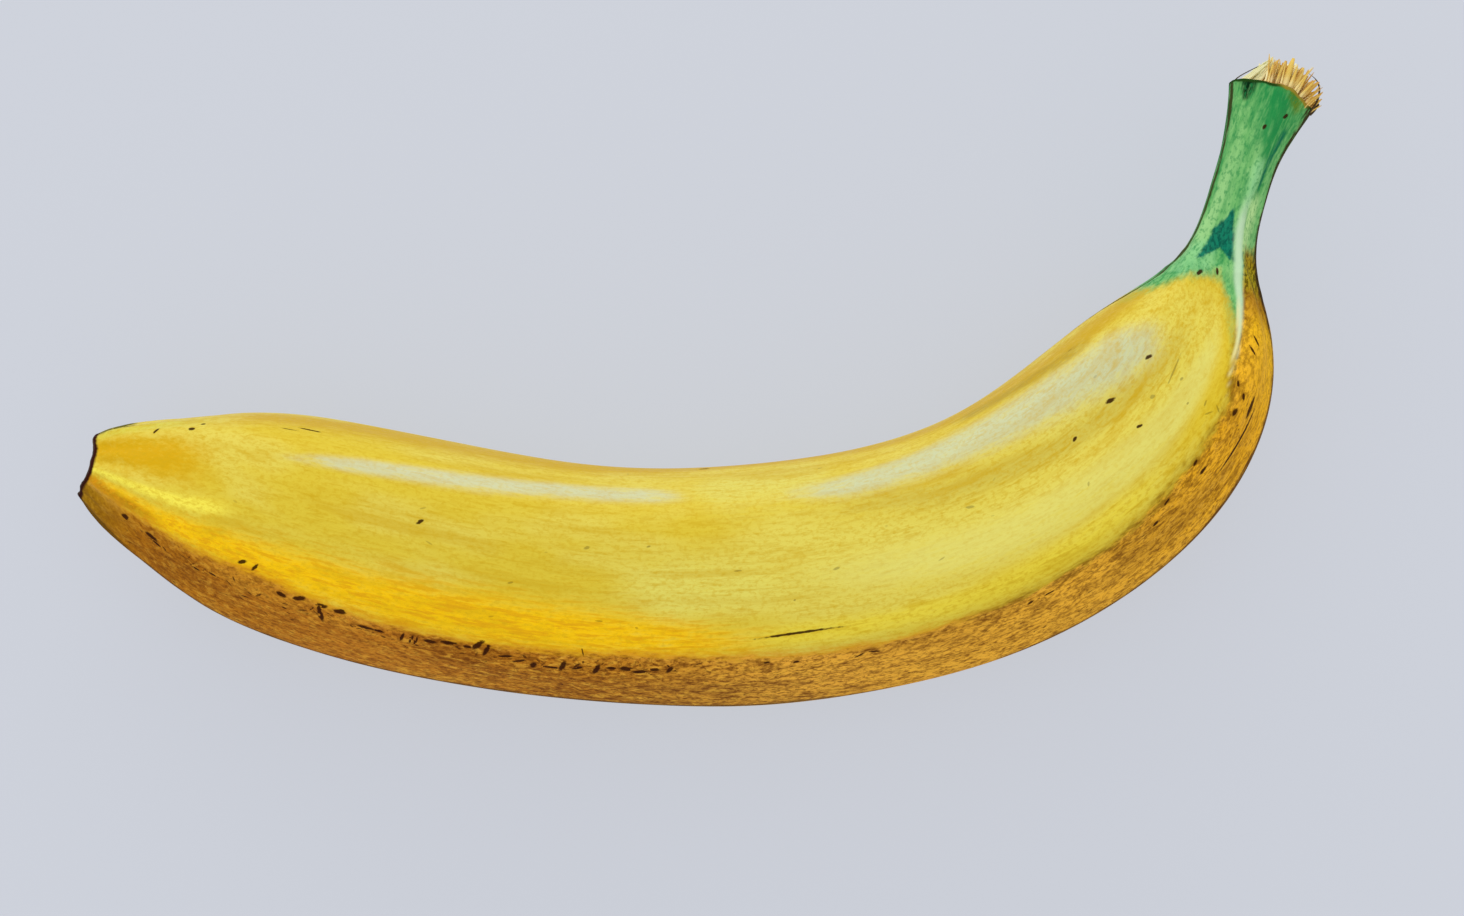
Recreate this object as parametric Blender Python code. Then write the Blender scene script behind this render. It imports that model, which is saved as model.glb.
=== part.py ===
"""A ripe banana lying on its side, as one closed solid: body, green neck, frayed stem end and blossom scar.

Metres, +Z up. The bend lies level, so that all of it is seen from above, and the blossom end points to -X.
The origin is the bottom centre of the bounding box, and a small flat spot rests on Z = 0.
"""

import math
import random
from functools import partial

import bmesh
import bpy
import numpy as np
from mathutils import Matrix, Vector

# Driving dimensions
LENGTH = 0.2243  # along the centreline, from the blossom scar to the rim of the cut end
WIDTH = 0.0380  # across the bend, where the fruit is widest
DEPTH = 0.0350  # square to the bend, where it is deepest
REST_CUT = 0.0005  # how much of the underside is pressed flat where the fruit lies

# Stations along the centreline: share of LENGTH, then the value there.
# The heading is in degrees from +X, and it turns left along the concave side.
HEADING = (
    (0.00, -17.5), (0.10, -16.3), (0.20, -13.3), (0.30, -8.5), (0.40, -1.2),
    (0.50, 7.0), (0.60, 19.0), (0.70, 36.5), (0.80, 59.5), (0.84, 69.5), (0.87, 75.0),
    (0.90, 75.5), (0.94, 73.0), (0.97, 71.0), (1.00, 70.0),
)
# Half widths are shares of WIDTH / 2, and half depths shares of DEPTH / 2.
HALF_WIDTH = (
    (0.000, 0.260), (0.016, 0.400), (0.050, 0.592), (0.090, 0.777), (0.140, 0.903),
    (0.210, 0.958), (0.340, 0.955), (0.460, 0.975), (0.600, 0.983), (0.690, 0.988),
    (0.745, 0.965), (0.785, 0.900), (0.820, 0.768), (0.850, 0.565), (0.870, 0.405),
    (0.890, 0.288), (0.930, 0.230), (0.965, 0.252), (1.000, 0.353),
)
HALF_DEPTH = (
    (0.000, 0.280), (0.016, 0.420), (0.050, 0.610), (0.090, 0.790), (0.140, 0.910),
    (0.210, 0.975), (0.340, 0.998), (0.520, 1.000), (0.650, 0.998), (0.745, 0.950),
    (0.785, 0.880), (0.820, 0.755), (0.850, 0.580), (0.870, 0.450), (0.890, 0.360),
    (0.930, 0.305), (0.965, 0.330), (1.000, 0.415),
)
TIP_LIFT = 0.0008  # the two ends rise this much above the level of the middle
STEM_LIFT = 0.0040

# Ridges run the length of the peel. Angles are in degrees round the centreline, from the
# concave side (0) over the top (90) to the convex side (180).
RIDGES = (52.0, 126.0, 187.0, 242.0, 300.0)
BROWN_FACE = 1  # the face after this ridge, counted from 0, lies on the convex side
# Share of LENGTH, then how far all the ridges turn there
RIDGE_TURN = (
    (0.00, -15.0), (0.10, -5.5), (0.20, -0.5), (0.50, 0.0), (0.80, 1.0), (0.85, 7.5),
    (0.87, 4.5), (0.89, -8.0), (0.92, -19.5), (0.96, -20.0), (1.00, -20.0),
)

# Cross-section, in shares of its radius: an even value, then bumps of (change, share of LENGTH, reach)
CORNERS = 0.100, ((-0.050, 0.00, 0.050), (-0.030, 1.00, 0.070))
CORNER_SPREAD = 23  # degrees
CREASES = 0.018, ((0.030, 0.00, 0.060), (0.050, 0.885, 0.045))
CREASE_SPREAD = 9
# The faces between the ridges are hollow at the neck, and a little at the shoulder and the scar.
HOLLOWS = 0.0, ((0.020, 0.00, 0.050), (0.020, 0.79, 0.100), (0.120, 0.885, 0.032))
HOLLOW_SPREAD = 20
# A short crease runs from the scar up the middle of the top face.
TOP_CREASE = 0.0, ((0.035, 0.00, 0.075),)
TOP_CREASE_ANGLE = 92.0
# A shallow groove runs beside the first ridge, deepest below the neck.
GROOVE = 0.0, ((0.034, 0.75, 0.150),)
GROOVE_ANGLE = 76.0
GROOVE_SPREAD = 13

# Mesh: zones of the length with their number of rings, and points from one ridge to the next
RING_ZONES = ((0.00, 0.10, 12), (0.10, 0.78, 34), (0.78, 0.93, 20), (0.93, 1.00, 9))
FACE_STEPS = 8
STEM_START = 0.86  # share of LENGTH where the peel turns green

# Blossom scar: share of the rim's size, then how far that ring stands out of the rim
SCAR_PROFILE = (
    (0.00, -0.0006), (0.35, -0.0012), (0.60, -0.0011), (0.82, -0.0004), (0.93, 0.0002), (1.00, 0.0),
)
SCAR_SADDLE = 0.0009  # the rim stands this much further out at its two sides
SCAR_SLANT = 0.0003  # and its concave side this much further out than its middle
# Cut end: the skin's edge, a groove inside it, and the torn core, as a share of the fibres' height
CORE_PROFILE = (
    (0.00, 0.60), (0.30, 0.60), (0.60, 0.52), (0.80, 0.28), (0.88, -0.04), (0.95, 0.02), (1.00, 0.0),
)
CAP_SIZES = (0.95, 0.88, 0.80, 0.60, 0.35, 0.15)  # rings inside either rim, as shares of its size
CUT_BULGE = 0.0015  # the rim stands this much further out above and below
RIM_FADE = 0.0050  # the shape of either rim dies away over this length

# Torn fibres on the cut end
FIBRES = 72
FIBRE_SIDES = 5
FIBRE_RADIUS = 0.00105
FIBRE_FINER = 0.30  # a fibre at the rim is this much finer than one in the middle
FIBRE_BROAD = (0.85, 1.25)  # a fibre is this much broader than it is round one way
FIBRE_THIN = (0.55, 0.85)  # and this much thinner the other way
FIBRE_TIP = 0.40  # share of the radius left at the tip
FIBRE_SUNK = 0.0006  # length of root below the rim
FIBRE_SPREAD = 0.82  # share of the rim's size that the fibres stand within
FIBRE_LEAN = 0.45  # how far a fibre at the rim would splay, as a slope
FIBRE_STRAY = 0.08  # how far a fibre strays from its even place, and from its even direction
FIBRE_TORN = (0.74, 1.0)  # share of the torn edge's height that a fibre reaches
# Height of the torn edge over the rim, from the convex side (-1) to the concave side (1)
FIBRE_HEIGHT = (
    (-1.00, 0.0046), (-0.80, 0.0052), (-0.30, 0.0060), (0.20, 0.0058), (0.50, 0.0044), (0.80, 0.0020),
    (1.00, 0.0008),
)
SEED = 7

# Materials: linear colour and roughness
MATERIALS = {
    "peel": ((0.680, 0.500, 0.060), 0.42),
    "peel_brown": ((0.400, 0.200, 0.030), 0.55),
    "peel_green": ((0.170, 0.430, 0.140), 0.45),
    "cut_fibres": ((0.620, 0.440, 0.150), 0.80),
    "scar": ((0.040, 0.018, 0.008), 0.75),
}


def natural_spline(stations):
    """A function through the stations, with no corner and no sudden change of curvature."""
    x, y = np.array(stations).T
    gap = np.diff(x)
    slope = np.diff(y) / gap
    system = np.eye(len(x))
    change = np.zeros(len(x))
    for i in range(1, len(x) - 1):
        system[i, i - 1 : i + 2] = gap[i - 1], 2 * (gap[i - 1] + gap[i]), gap[i]
        change[i] = 6 * (slope[i] - slope[i - 1])
    bend = np.linalg.solve(system, change)

    def value(at):
        i = int(np.clip(np.searchsorted(x, at) - 1, 0, len(gap) - 1))
        before, after = at - x[i], x[i + 1] - at
        cubic = (bend[i] * after**3 + bend[i + 1] * before**3) / (6 * gap[i])
        start = (y[i] / gap[i] - bend[i] * gap[i] / 6) * after
        end = (y[i + 1] / gap[i] - bend[i + 1] * gap[i] / 6) * before
        return cubic + start + end

    return value


heading_at = natural_spline(HEADING)
half_width_at = natural_spline(HALF_WIDTH)
half_depth_at = natural_spline(HALF_DEPTH)
ridge_turn_at = natural_spline(RIDGE_TURN)
scar_profile_at = natural_spline(SCAR_PROFILE)
core_profile_at = natural_spline(CORE_PROFILE)
fibre_height_at = natural_spline(FIBRE_HEIGHT)


def bell(value, centre, spread):
    """1 at the centre, falling smoothly to nothing a few spreads away."""
    return math.exp(-(((value - centre) / spread) ** 2))


def step(value, low, high):
    """0 up to low, 1 from high on, and smooth between."""
    x = min(1.0, max(0.0, (value - low) / (high - low)))
    return x * x * (3 - 2 * x)


def angle_bell(a, b, spread):
    """A bell over the smaller angle between two directions, in degrees."""
    return bell(abs((a - b + 180) % 360 - 180), 0, spread)


def strength(feature, share):
    """How strong a feature of the cross-section is at a share of the length."""
    even, bumps = feature
    return even + sum(change * bell(share, centre, reach) for change, centre, reach in bumps)


def ring_shares():
    """Where the rings stand along the length: closer together at the tip, the neck and the stem's end."""
    shares = [np.linspace(low, high, count, endpoint=False) for low, high, count in RING_ZONES]
    return [*np.concatenate(shares), 1.0]


def ridge_angles(share):
    """The ridges' angles at a share of the length."""
    return [ridge + ridge_turn_at(share) for ridge in RIDGES]


def section_angles(share):
    """The angles of a ring's points: every ridge has its own point, with even steps over each face."""
    ridges = ridge_angles(share)
    following = [*ridges[1:], ridges[0] + 360]
    return [a + (b - a) * k / FACE_STEPS for a, b in zip(ridges, following) for k in range(FACE_STEPS)]


def section_radius(share, angle):
    """Radius before scaling: a rounded pentagon, creased at its ridges and hollow between them at the neck."""
    ridges = ridge_angles(share)
    middles = [(a + b) / 2 for a, b in zip(ridges, [*ridges[1:], ridges[0] + 360])]
    radius = 1.0
    radius += strength(CORNERS, share) * sum(angle_bell(angle, ridge, CORNER_SPREAD) for ridge in ridges)
    radius += strength(CREASES, share) * sum(angle_bell(angle, ridge, CREASE_SPREAD) for ridge in ridges)
    radius -= strength(HOLLOWS, share) * sum(angle_bell(angle, middle, HOLLOW_SPREAD) for middle in middles)
    radius += strength(TOP_CREASE, share) * angle_bell(angle, TOP_CREASE_ANGLE, CREASE_SPREAD)
    radius -= strength(GROOVE, share) * angle_bell(angle, GROOVE_ANGLE, GROOVE_SPREAD)
    return radius


def section(share):
    """A ring's points as (towards the concave side, up), filling the width and depth at that share."""
    angles = section_angles(share)
    points = np.array([
        (math.cos(math.radians(a)), math.sin(math.radians(a))) for a in angles
    ]) * np.array([[section_radius(share, a)] for a in angles])
    low, high = points.min(axis=0), points.max(axis=0)
    return (2 * points - low - high) / (high - low)


def centreline(steps=2000):
    """Centre points at even steps along the length, by following the heading from the scar."""
    shares = (np.arange(steps) + 0.5) / steps
    headings = np.radians([heading_at(s) for s in shares])
    moves = np.column_stack([np.cos(headings), np.sin(headings)]) * LENGTH / steps
    return np.vstack([[0, 0], np.cumsum(moves, axis=0)])


def rim_shift(share, across, up):
    """How far a ring's point moves along the centreline to shape the nearest rim."""
    to_scar = share * LENGTH
    to_cut = (1 - share) * LENGTH
    scar = SCAR_SADDLE * across**2 + SCAR_SLANT * across
    return CUT_BULGE * up**2 * bell(to_cut, 0, RIM_FADE) - scar * bell(to_scar, 0, RIM_FADE)


class Spine:
    """The centreline with its direction at every share of the length."""

    def __init__(self):
        self.points = centreline()

    def centre(self, share):
        at = share * (len(self.points) - 1)
        i = min(int(at), len(self.points) - 2)
        x, y = self.points[i] + (self.points[i + 1] - self.points[i]) * (at - i)
        lift = TIP_LIFT * bell(share, 0, 0.25) + STEM_LIFT * step(share, 0.70, 1.0)
        return Vector((x, y, lift))

    def forward(self, share):
        heading = math.radians(heading_at(share))
        return Vector((math.cos(heading), math.sin(heading), 0))

    def inward(self, share):
        return Vector((0, 0, 1)).cross(self.forward(share))

    def ring(self, share):
        """The peel's points round the centreline at a share of the length."""
        width = half_width_at(share) * WIDTH / 2
        depth = half_depth_at(share) * DEPTH / 2
        centre, forward, inward = self.centre(share), self.forward(share), self.inward(share)
        return [
            centre
            + forward * rim_shift(share, across, up)
            + inward * across * width
            + Vector((0, 0, up * depth))
            for across, up in section(share)
        ]


def skin(bm, ring, following, slots):
    """A band of faces from one ring of vertices to the next, with a material slot for each face."""
    count = len(ring)
    for i in range(count):
        j = (i + 1) % count
        face = bm.faces.new((ring[i], ring[j], following[j], following[i]))
        face.material_index = slots[i]


def cap(bm, rim, outward, height_at, slot):
    """Closes an end with smaller and smaller copies of its rim, and a point in the middle.

    height_at gives how far a point stands out of the rim, from its ring's size and its offset.
    """
    centre = sum((vertex.co for vertex in rim), Vector()) / len(rim)
    ring = rim
    for size in CAP_SIZES:
        offsets = [(vertex.co - centre) * size for vertex in rim]
        following = [bm.verts.new(centre + offset + outward * height_at(size, offset)) for offset in offsets]
        skin(bm, ring, following, [slot] * len(ring))
        ring = following
    middle = bm.verts.new(centre + outward * height_at(0, Vector()))
    for i, vertex in enumerate(ring):
        bm.faces.new((vertex, ring[(i + 1) % len(ring)], middle)).material_index = slot


def scar_height(size, offset):
    """The blossom scar is a shallow dish."""
    return scar_profile_at(size)


def core_height(spine, size, offset):
    """The torn core follows the fibres: it is low on the concave side."""
    across = offset.dot(spine.inward(1)) / (half_width_at(1) * WIDTH / 2)
    return core_profile_at(size) * fibre_height_at(across)


def peel_slots(share):
    """The material slot of each face of a band: yellow, brown on the convex face, green from the neck on."""
    names = list(MATERIALS)
    if share > STEM_START:
        return [names.index("peel_green")] * (FACE_STEPS * len(RIDGES))
    faces = ["peel_brown" if face == BROWN_FACE else "peel" for face in range(len(RIDGES))]
    return [names.index(name) for name in faces for _ in range(FACE_STEPS)]


def make_fruit(spine):
    """The whole fruit without its torn fibres: rings along the centreline, closed at both ends."""
    bm = bmesh.new()
    shares = ring_shares()
    rings = [[bm.verts.new(point) for point in spine.ring(share)] for share in shares]
    for share, ring, following in zip(shares, rings, rings[1:]):
        skin(bm, ring, following, peel_slots(share))
    names = list(MATERIALS)
    cap(bm, rings[0], -spine.forward(0), scar_height, names.index("scar"))
    cap(bm, rings[-1], spine.forward(1), partial(core_height, spine), names.index("cut_fibres"))
    bmesh.ops.recalc_face_normals(bm, faces=bm.faces)
    return finish_mesh(bm, "banana")


def finish_mesh(bm, name):
    """A new object with that mesh and all the materials."""
    mesh = bpy.data.meshes.new(name)
    bm.to_mesh(mesh)
    bm.free()
    for material in MATERIALS:
        mesh.materials.append(bpy.data.materials[material])
    return bpy.data.objects.new(name, mesh)


def rim_reach(turn):
    """How far the rim of the cut end lies from its middle in one direction. Its box reaches 1."""
    across, up = section(1).T
    nearest = np.argmax(np.cos(np.arctan2(up, across) - turn))
    return math.hypot(across[nearest], up[nearest])


def make_fibre(spine, index, rng):
    """One torn fibre: a tapered strand with its root sunk in the stem, splayed away from the middle."""
    # The golden angle spreads the strands evenly over the cut end.
    turn = index * math.pi * (3 - math.sqrt(5)) + rng.uniform(-FIBRE_STRAY, FIBRE_STRAY)
    out = FIBRE_SPREAD * math.sqrt((index + 0.5) / FIBRES)
    across, up = out * rim_reach(turn) * np.array([math.cos(turn), math.sin(turn)])
    inward, forward = spine.inward(1), spine.forward(1)
    sideways = inward * across + Vector((0, 0, up))
    direction = (forward + sideways * FIBRE_LEAN).normalized()
    direction += Vector([rng.uniform(-FIBRE_STRAY, FIBRE_STRAY) for _ in range(3)])
    direction.normalize()
    root = (
        spine.centre(1)
        + inward * across * half_width_at(1) * WIDTH / 2
        + Vector((0, 0, up * half_depth_at(1) * DEPTH / 2))
        - direction * FIBRE_SUNK
    )
    height = fibre_height_at(across) * rng.uniform(*FIBRE_TORN)
    length = FIBRE_SUNK + height
    turned = direction.to_track_quat("Z", "Y").to_matrix().to_4x4()
    place = Matrix.Translation(root + direction * length / 2) @ turned
    spin = Matrix.Rotation(rng.uniform(0, math.tau), 4, "Z")
    flat = Matrix.Diagonal((rng.uniform(*FIBRE_BROAD), rng.uniform(*FIBRE_THIN), 1.0, 1.0))
    radius = FIBRE_RADIUS * (1 - FIBRE_FINER * out)
    bm = bmesh.new()
    bmesh.ops.create_cone(
        bm,
        cap_ends=True,
        segments=FIBRE_SIDES,
        radius1=radius,
        radius2=radius * FIBRE_TIP,
        depth=length,
        matrix=place @ spin @ flat,
    )
    for face in bm.faces:
        face.material_index = list(MATERIALS).index("cut_fibres")
    return finish_mesh(bm, f"fibre_{index:02d}")


def join_fibres(fruit, spine):
    """Fuses the torn fibres to the stem with one union, and removes the loose ones."""
    rng = random.Random(SEED)
    fibres = bpy.data.collections.new("fibres")
    bpy.context.scene.collection.children.link(fibres)
    for index in range(FIBRES):
        fibres.objects.link(make_fibre(spine, index, rng))
    union = fruit.modifiers.new("fibres", "BOOLEAN")
    union.operation = "UNION"
    union.operand_type = "COLLECTION"
    union.collection = fibres
    union.solver = "EXACT"
    bpy.context.view_layer.update()
    graph = bpy.context.evaluated_depsgraph_get()
    joined = bpy.data.meshes.new_from_object(fruit.evaluated_get(graph))
    fruit.modifiers.clear()
    fruit.data = joined
    for loose in list(fibres.objects):
        bpy.data.objects.remove(loose)
    bpy.data.collections.remove(fibres)


def rest_on_floor(fruit):
    """Presses the lowest part of the peel flat, and puts the bottom centre of the box at the origin."""
    bm = bmesh.new()
    bm.from_mesh(fruit.data)
    lowest = min(vertex.co.z for vertex in bm.verts)
    bmesh.ops.bisect_plane(
        bm,
        geom=[*bm.verts, *bm.edges, *bm.faces],
        plane_co=(0, 0, lowest + REST_CUT),
        plane_no=(0, 0, -1),
        clear_outer=True,
    )
    bmesh.ops.holes_fill(bm, edges=bm.edges)
    corners = np.array([vertex.co for vertex in bm.verts])
    low, high = corners.min(axis=0), corners.max(axis=0)
    middle = (low + high) / 2
    bmesh.ops.translate(bm, verts=bm.verts, vec=(-middle[0], -middle[1], -low[2]))
    bm.to_mesh(fruit.data)
    bm.free()


def make_materials():
    for name, (colour, roughness) in MATERIALS.items():
        material = bpy.data.materials.new(name)
        material.use_nodes = True
        shader = material.node_tree.nodes["Principled BSDF"]
        shader.inputs["Base Color"].default_value = (*colour, 1)
        shader.inputs["Roughness"].default_value = roughness
        shader.inputs["Metallic"].default_value = 0
        material.diffuse_color = (*colour, 1)


def main():
    for leftover in list(bpy.data.objects):
        bpy.data.objects.remove(leftover)
    make_materials()
    spine = Spine()
    fruit = make_fruit(spine)
    parts = bpy.data.collections.new("banana")
    bpy.context.scene.collection.children.link(parts)
    parts.objects.link(fruit)
    join_fibres(fruit, spine)
    rest_on_floor(fruit)
    fruit.data.shade_smooth()
    fruit.data.set_sharp_from_angle(angle=math.radians(40))


main()
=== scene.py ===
"""The looks of a ripe banana lying on its side, seen from straight above.

Metres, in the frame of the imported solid. The fine peel repeats the solid's own formulas with closer rings,
and carries fields, measured along and around the fruit, that its material paints by.
"""

import math
import random

import bpy
import numpy as np
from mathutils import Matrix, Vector, noise


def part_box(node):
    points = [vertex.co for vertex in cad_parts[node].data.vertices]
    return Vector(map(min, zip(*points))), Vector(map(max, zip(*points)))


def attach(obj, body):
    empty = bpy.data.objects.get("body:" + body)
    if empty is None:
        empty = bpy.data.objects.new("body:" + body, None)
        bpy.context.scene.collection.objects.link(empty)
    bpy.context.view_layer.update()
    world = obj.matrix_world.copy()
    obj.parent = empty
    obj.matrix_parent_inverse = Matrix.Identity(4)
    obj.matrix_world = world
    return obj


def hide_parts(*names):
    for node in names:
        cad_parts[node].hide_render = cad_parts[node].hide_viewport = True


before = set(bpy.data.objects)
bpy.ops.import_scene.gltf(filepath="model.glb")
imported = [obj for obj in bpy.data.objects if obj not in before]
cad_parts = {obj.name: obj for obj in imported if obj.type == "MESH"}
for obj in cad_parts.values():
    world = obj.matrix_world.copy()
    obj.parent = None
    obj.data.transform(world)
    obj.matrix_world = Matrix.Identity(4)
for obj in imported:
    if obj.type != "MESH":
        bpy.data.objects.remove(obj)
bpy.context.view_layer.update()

# Driving dimensions, as in the solid
LENGTH = 0.2243
WIDTH = 0.0380
DEPTH = 0.0350
REST_CUT = 0.0005

# Stations along the centreline: share of LENGTH, then the value there
HEADING = (
    (0, -17.5), (0.1, -16.3), (0.2, -13.3), (0.3, -8.5), (0.4, -1.2), (0.5, 7), (0.6, 19), (0.7, 36.5),
    (0.8, 59.5), (0.84, 69.5), (0.87, 75), (0.9, 75.5), (0.94, 73), (0.97, 71), (1, 70),
)
HALF_WIDTH = (
    (0, 0.26), (0.016, 0.4), (0.05, 0.592), (0.09, 0.777), (0.14, 0.903), (0.21, 0.958), (0.34, 0.955),
    (0.46, 0.975), (0.6, 0.983), (0.69, 0.988), (0.745, 0.965), (0.785, 0.9), (0.82, 0.768), (0.85, 0.565),
    (0.87, 0.405), (0.89, 0.288), (0.93, 0.23), (0.965, 0.252), (1, 0.353),
)
HALF_DEPTH = (
    (0, 0.28), (0.016, 0.42), (0.05, 0.61), (0.09, 0.79), (0.14, 0.91), (0.21, 0.975), (0.34, 0.998),
    (0.52, 1), (0.65, 0.998), (0.745, 0.95), (0.785, 0.88), (0.82, 0.755), (0.85, 0.58), (0.87, 0.45),
    (0.89, 0.36), (0.93, 0.305), (0.965, 0.33), (1, 0.415),
)
TIP_LIFT = 0.0008
TIP_LIFT_REACH = 0.25
STEM_LIFT = 0.0040
STEM_LIFT_FROM = 0.70

# Ridges, in degrees round the centreline from the concave side (0) over the top (90)
RIDGES = (52.0, 126.0, 187.0, 242.0, 300.0)
RIDGE_TURN = (
    (0, -15), (0.1, -5.5), (0.2, -0.5), (0.5, 0), (0.8, 1), (0.85, 7.5), (0.87, 4.5), (0.89, -8),
    (0.92, -19.5), (0.96, -20), (1, -20),
)

# Cross-section: an even value, then bumps of (change, share of LENGTH, reach)
CORNERS = 0.100, ((-0.050, 0.00, 0.050), (-0.030, 1.00, 0.070))
CORNER_SPREAD = 23
CREASES = 0.018, ((0.030, 0.00, 0.060), (0.050, 0.885, 0.045))
CREASE_SPREAD = 9
HOLLOWS = 0.0, ((0.020, 0.00, 0.050), (0.020, 0.79, 0.100), (0.120, 0.885, 0.032))
HOLLOW_SPREAD = 20
TOP_CREASE = 0.0, ((0.035, 0.00, 0.075),)
TOP_CREASE_ANGLE = 92.0
GROOVE = 0.0, ((0.034, 0.75, 0.150),)
GROOVE_ANGLE = 76.0
GROOVE_SPREAD = 13

# The two ends
SCAR_PROFILE = (
    (0, -0.0006), (0.35, -0.0012), (0.6, -0.0011), (0.82, -0.0004), (0.93, 0.0002), (1, 0),
)
SCAR_SADDLE = 0.0009
SCAR_SLANT = 0.0003
CORE_PROFILE = (
    (0, 0.6), (0.3, 0.6), (0.6, 0.52), (0.8, 0.28), (0.88, -0.04), (0.95, 0.02), (1, 0),
)
CUT_BULGE = 0.0015
RIM_FADE = 0.0050
FIBRE_HEIGHT = (
    (-1, 0.0046), (-0.8, 0.0052), (-0.3, 0.006), (0.2, 0.0058), (0.5, 0.0044), (0.8, 0.002), (1, 0.0008),
)

# The fine mesh: zones of the length with their number of rings, and points from ridge to ridge
RING_ZONES = ((0.00, 0.06, 44), (0.06, 0.78, 236), (0.78, 0.92, 110), (0.92, 1.00, 70))
FACE_POINTS = 34
LINE_STEPS = 2000  # steps that the centreline is followed in
CAP_RINGS = 22
PEEL_SLOT, SCAR_SLOT, CORE_SLOT = 0, 1, 2
SCAR_GRAIN = 0.00020, 3.0  # height of its grain in metres, and what sets its noise apart
CORE_GRAIN = 0.00035, 8.0
CAP_CROWDING = 1.3  # above 1 the rings of both ends stand closer together at the rim
CAP_GRAIN_SIZE = 1.6  # grains to a millimetre
CAP_GRAIN_FADE = 6  # a high power keeps the grain up to near the rim

SEED = 11
NOISE_STEP = 17.3  # sets apart the noise of different seeds
MM = 1000.0
BODY = "root"
NODE = "banana"


def natural_spline(stations):
    """A function through the stations, with no corner and no sudden change of curvature."""
    x, y = np.array(stations).T
    gap = np.diff(x)
    slope = np.diff(y) / gap
    system = np.eye(len(x))
    change = np.zeros(len(x))
    for i in range(1, len(x) - 1):
        system[i, i - 1 : i + 2] = gap[i - 1], 2 * (gap[i - 1] + gap[i]), gap[i]
        change[i] = 6 * (slope[i] - slope[i - 1])
    bend = np.linalg.solve(system, change)

    def value(at):
        i = np.clip(np.searchsorted(x, at) - 1, 0, len(gap) - 1)
        before, after = at - x[i], x[i + 1] - at
        cubic = (bend[i] * after**3 + bend[i + 1] * before**3) / (6 * gap[i])
        start = (y[i] / gap[i] - bend[i] * gap[i] / 6) * after
        end = (y[i + 1] / gap[i] - bend[i + 1] * gap[i] / 6) * before
        return cubic + start + end

    return value


heading_at = natural_spline(HEADING)
half_width_at = natural_spline(HALF_WIDTH)
half_depth_at = natural_spline(HALF_DEPTH)
ridge_turn_at = natural_spline(RIDGE_TURN)
scar_profile_at = natural_spline(SCAR_PROFILE)
core_profile_at = natural_spline(CORE_PROFILE)
fibre_height_at = natural_spline(FIBRE_HEIGHT)


def bell(value, centre, spread):
    """1 at the centre, falling smoothly to nothing a few spreads away."""
    return np.exp(-(((value - centre) / spread) ** 2))


def step(value, low, high):
    """0 up to low, 1 from high on, and smooth between."""
    x = np.clip((value - low) / (high - low), 0, 1)
    return x * x * (3 - 2 * x)


def turned(a, b):
    """The angle from b to a, in degrees from -180 to 180."""
    return (a - b + 180) % 360 - 180


def strength(feature, shares):
    """How strong a feature of the cross-section is at each share of the length."""
    even, bumps = feature
    return even + sum(change * bell(shares, centre, reach) for change, centre, reach in bumps)


def ring_shares():
    """Where the rings stand: closer together at the tip, the neck and the stem."""
    shares = [np.linspace(low, high, count, endpoint=False) for low, high, count in RING_ZONES]
    return np.concatenate([*shares, [1.0]])


def ridge_angles(shares):
    """The ridges' angles, one row for each share."""
    return np.array(RIDGES) + ridge_turn_at(shares)[:, None]


def section_angles(shares):
    """The angles of the rings' points: every ridge has its own point, with even steps over each face."""
    ridges = ridge_angles(shares)
    following = np.column_stack([ridges[:, 1:], ridges[:, 0] + 360])
    steps = np.arange(FACE_POINTS) / FACE_POINTS
    angles = ridges[:, :, None] + (following - ridges)[:, :, None] * steps
    return angles.reshape(len(shares), -1)


def bells_round(angles, centres, spread):
    """The sum of a bell over each centre's angle, for rings of angles."""
    return sum(bell(turned(angles, centre[:, None]), 0, spread) for centre in centres.T)


def sections(shares, angles):
    """Ring points as (towards the concave side, up), filling the width and depth there."""
    ridges = ridge_angles(shares)
    middles = (ridges + np.column_stack([ridges[:, 1:], ridges[:, 0] + 360])) / 2
    along = shares[:, None]
    radius = 1 + strength(CORNERS, along) * bells_round(angles, ridges, CORNER_SPREAD)
    radius += strength(CREASES, along) * bells_round(angles, ridges, CREASE_SPREAD)
    radius -= strength(HOLLOWS, along) * bells_round(angles, middles, HOLLOW_SPREAD)
    radius += strength(TOP_CREASE, along) * bell(turned(angles, TOP_CREASE_ANGLE), 0, CREASE_SPREAD)
    radius -= strength(GROOVE, along) * bell(turned(angles, GROOVE_ANGLE), 0, GROOVE_SPREAD)
    turn = np.radians(angles)
    points = np.stack([np.cos(turn), np.sin(turn)], axis=-1) * radius[..., None]
    low, high = points.min(axis=1, keepdims=True), points.max(axis=1, keepdims=True)
    return (2 * points - low - high) / (high - low)


def forward_at(shares):
    """Level directions along the centreline, towards the stem."""
    heading = np.radians(heading_at(shares))
    return np.column_stack([np.cos(heading), np.sin(heading), np.zeros(len(shares))])


def inward_at(shares):
    """Level directions across the centreline, towards the concave side."""
    return np.cross([0, 0, 1], forward_at(shares))


def centreline():
    """Centre points at even steps along the length, by following the heading from the scar."""
    shares = (np.arange(LINE_STEPS) + 0.5) / LINE_STEPS
    return np.vstack([np.zeros(3), np.cumsum(forward_at(shares) * LENGTH / LINE_STEPS, axis=0)])


LINE = centreline()
# The directions at the scar and at the cut
ENDS = np.array([0.0, 1.0])
FORWARDS, INWARDS = forward_at(ENDS), inward_at(ENDS)


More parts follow.
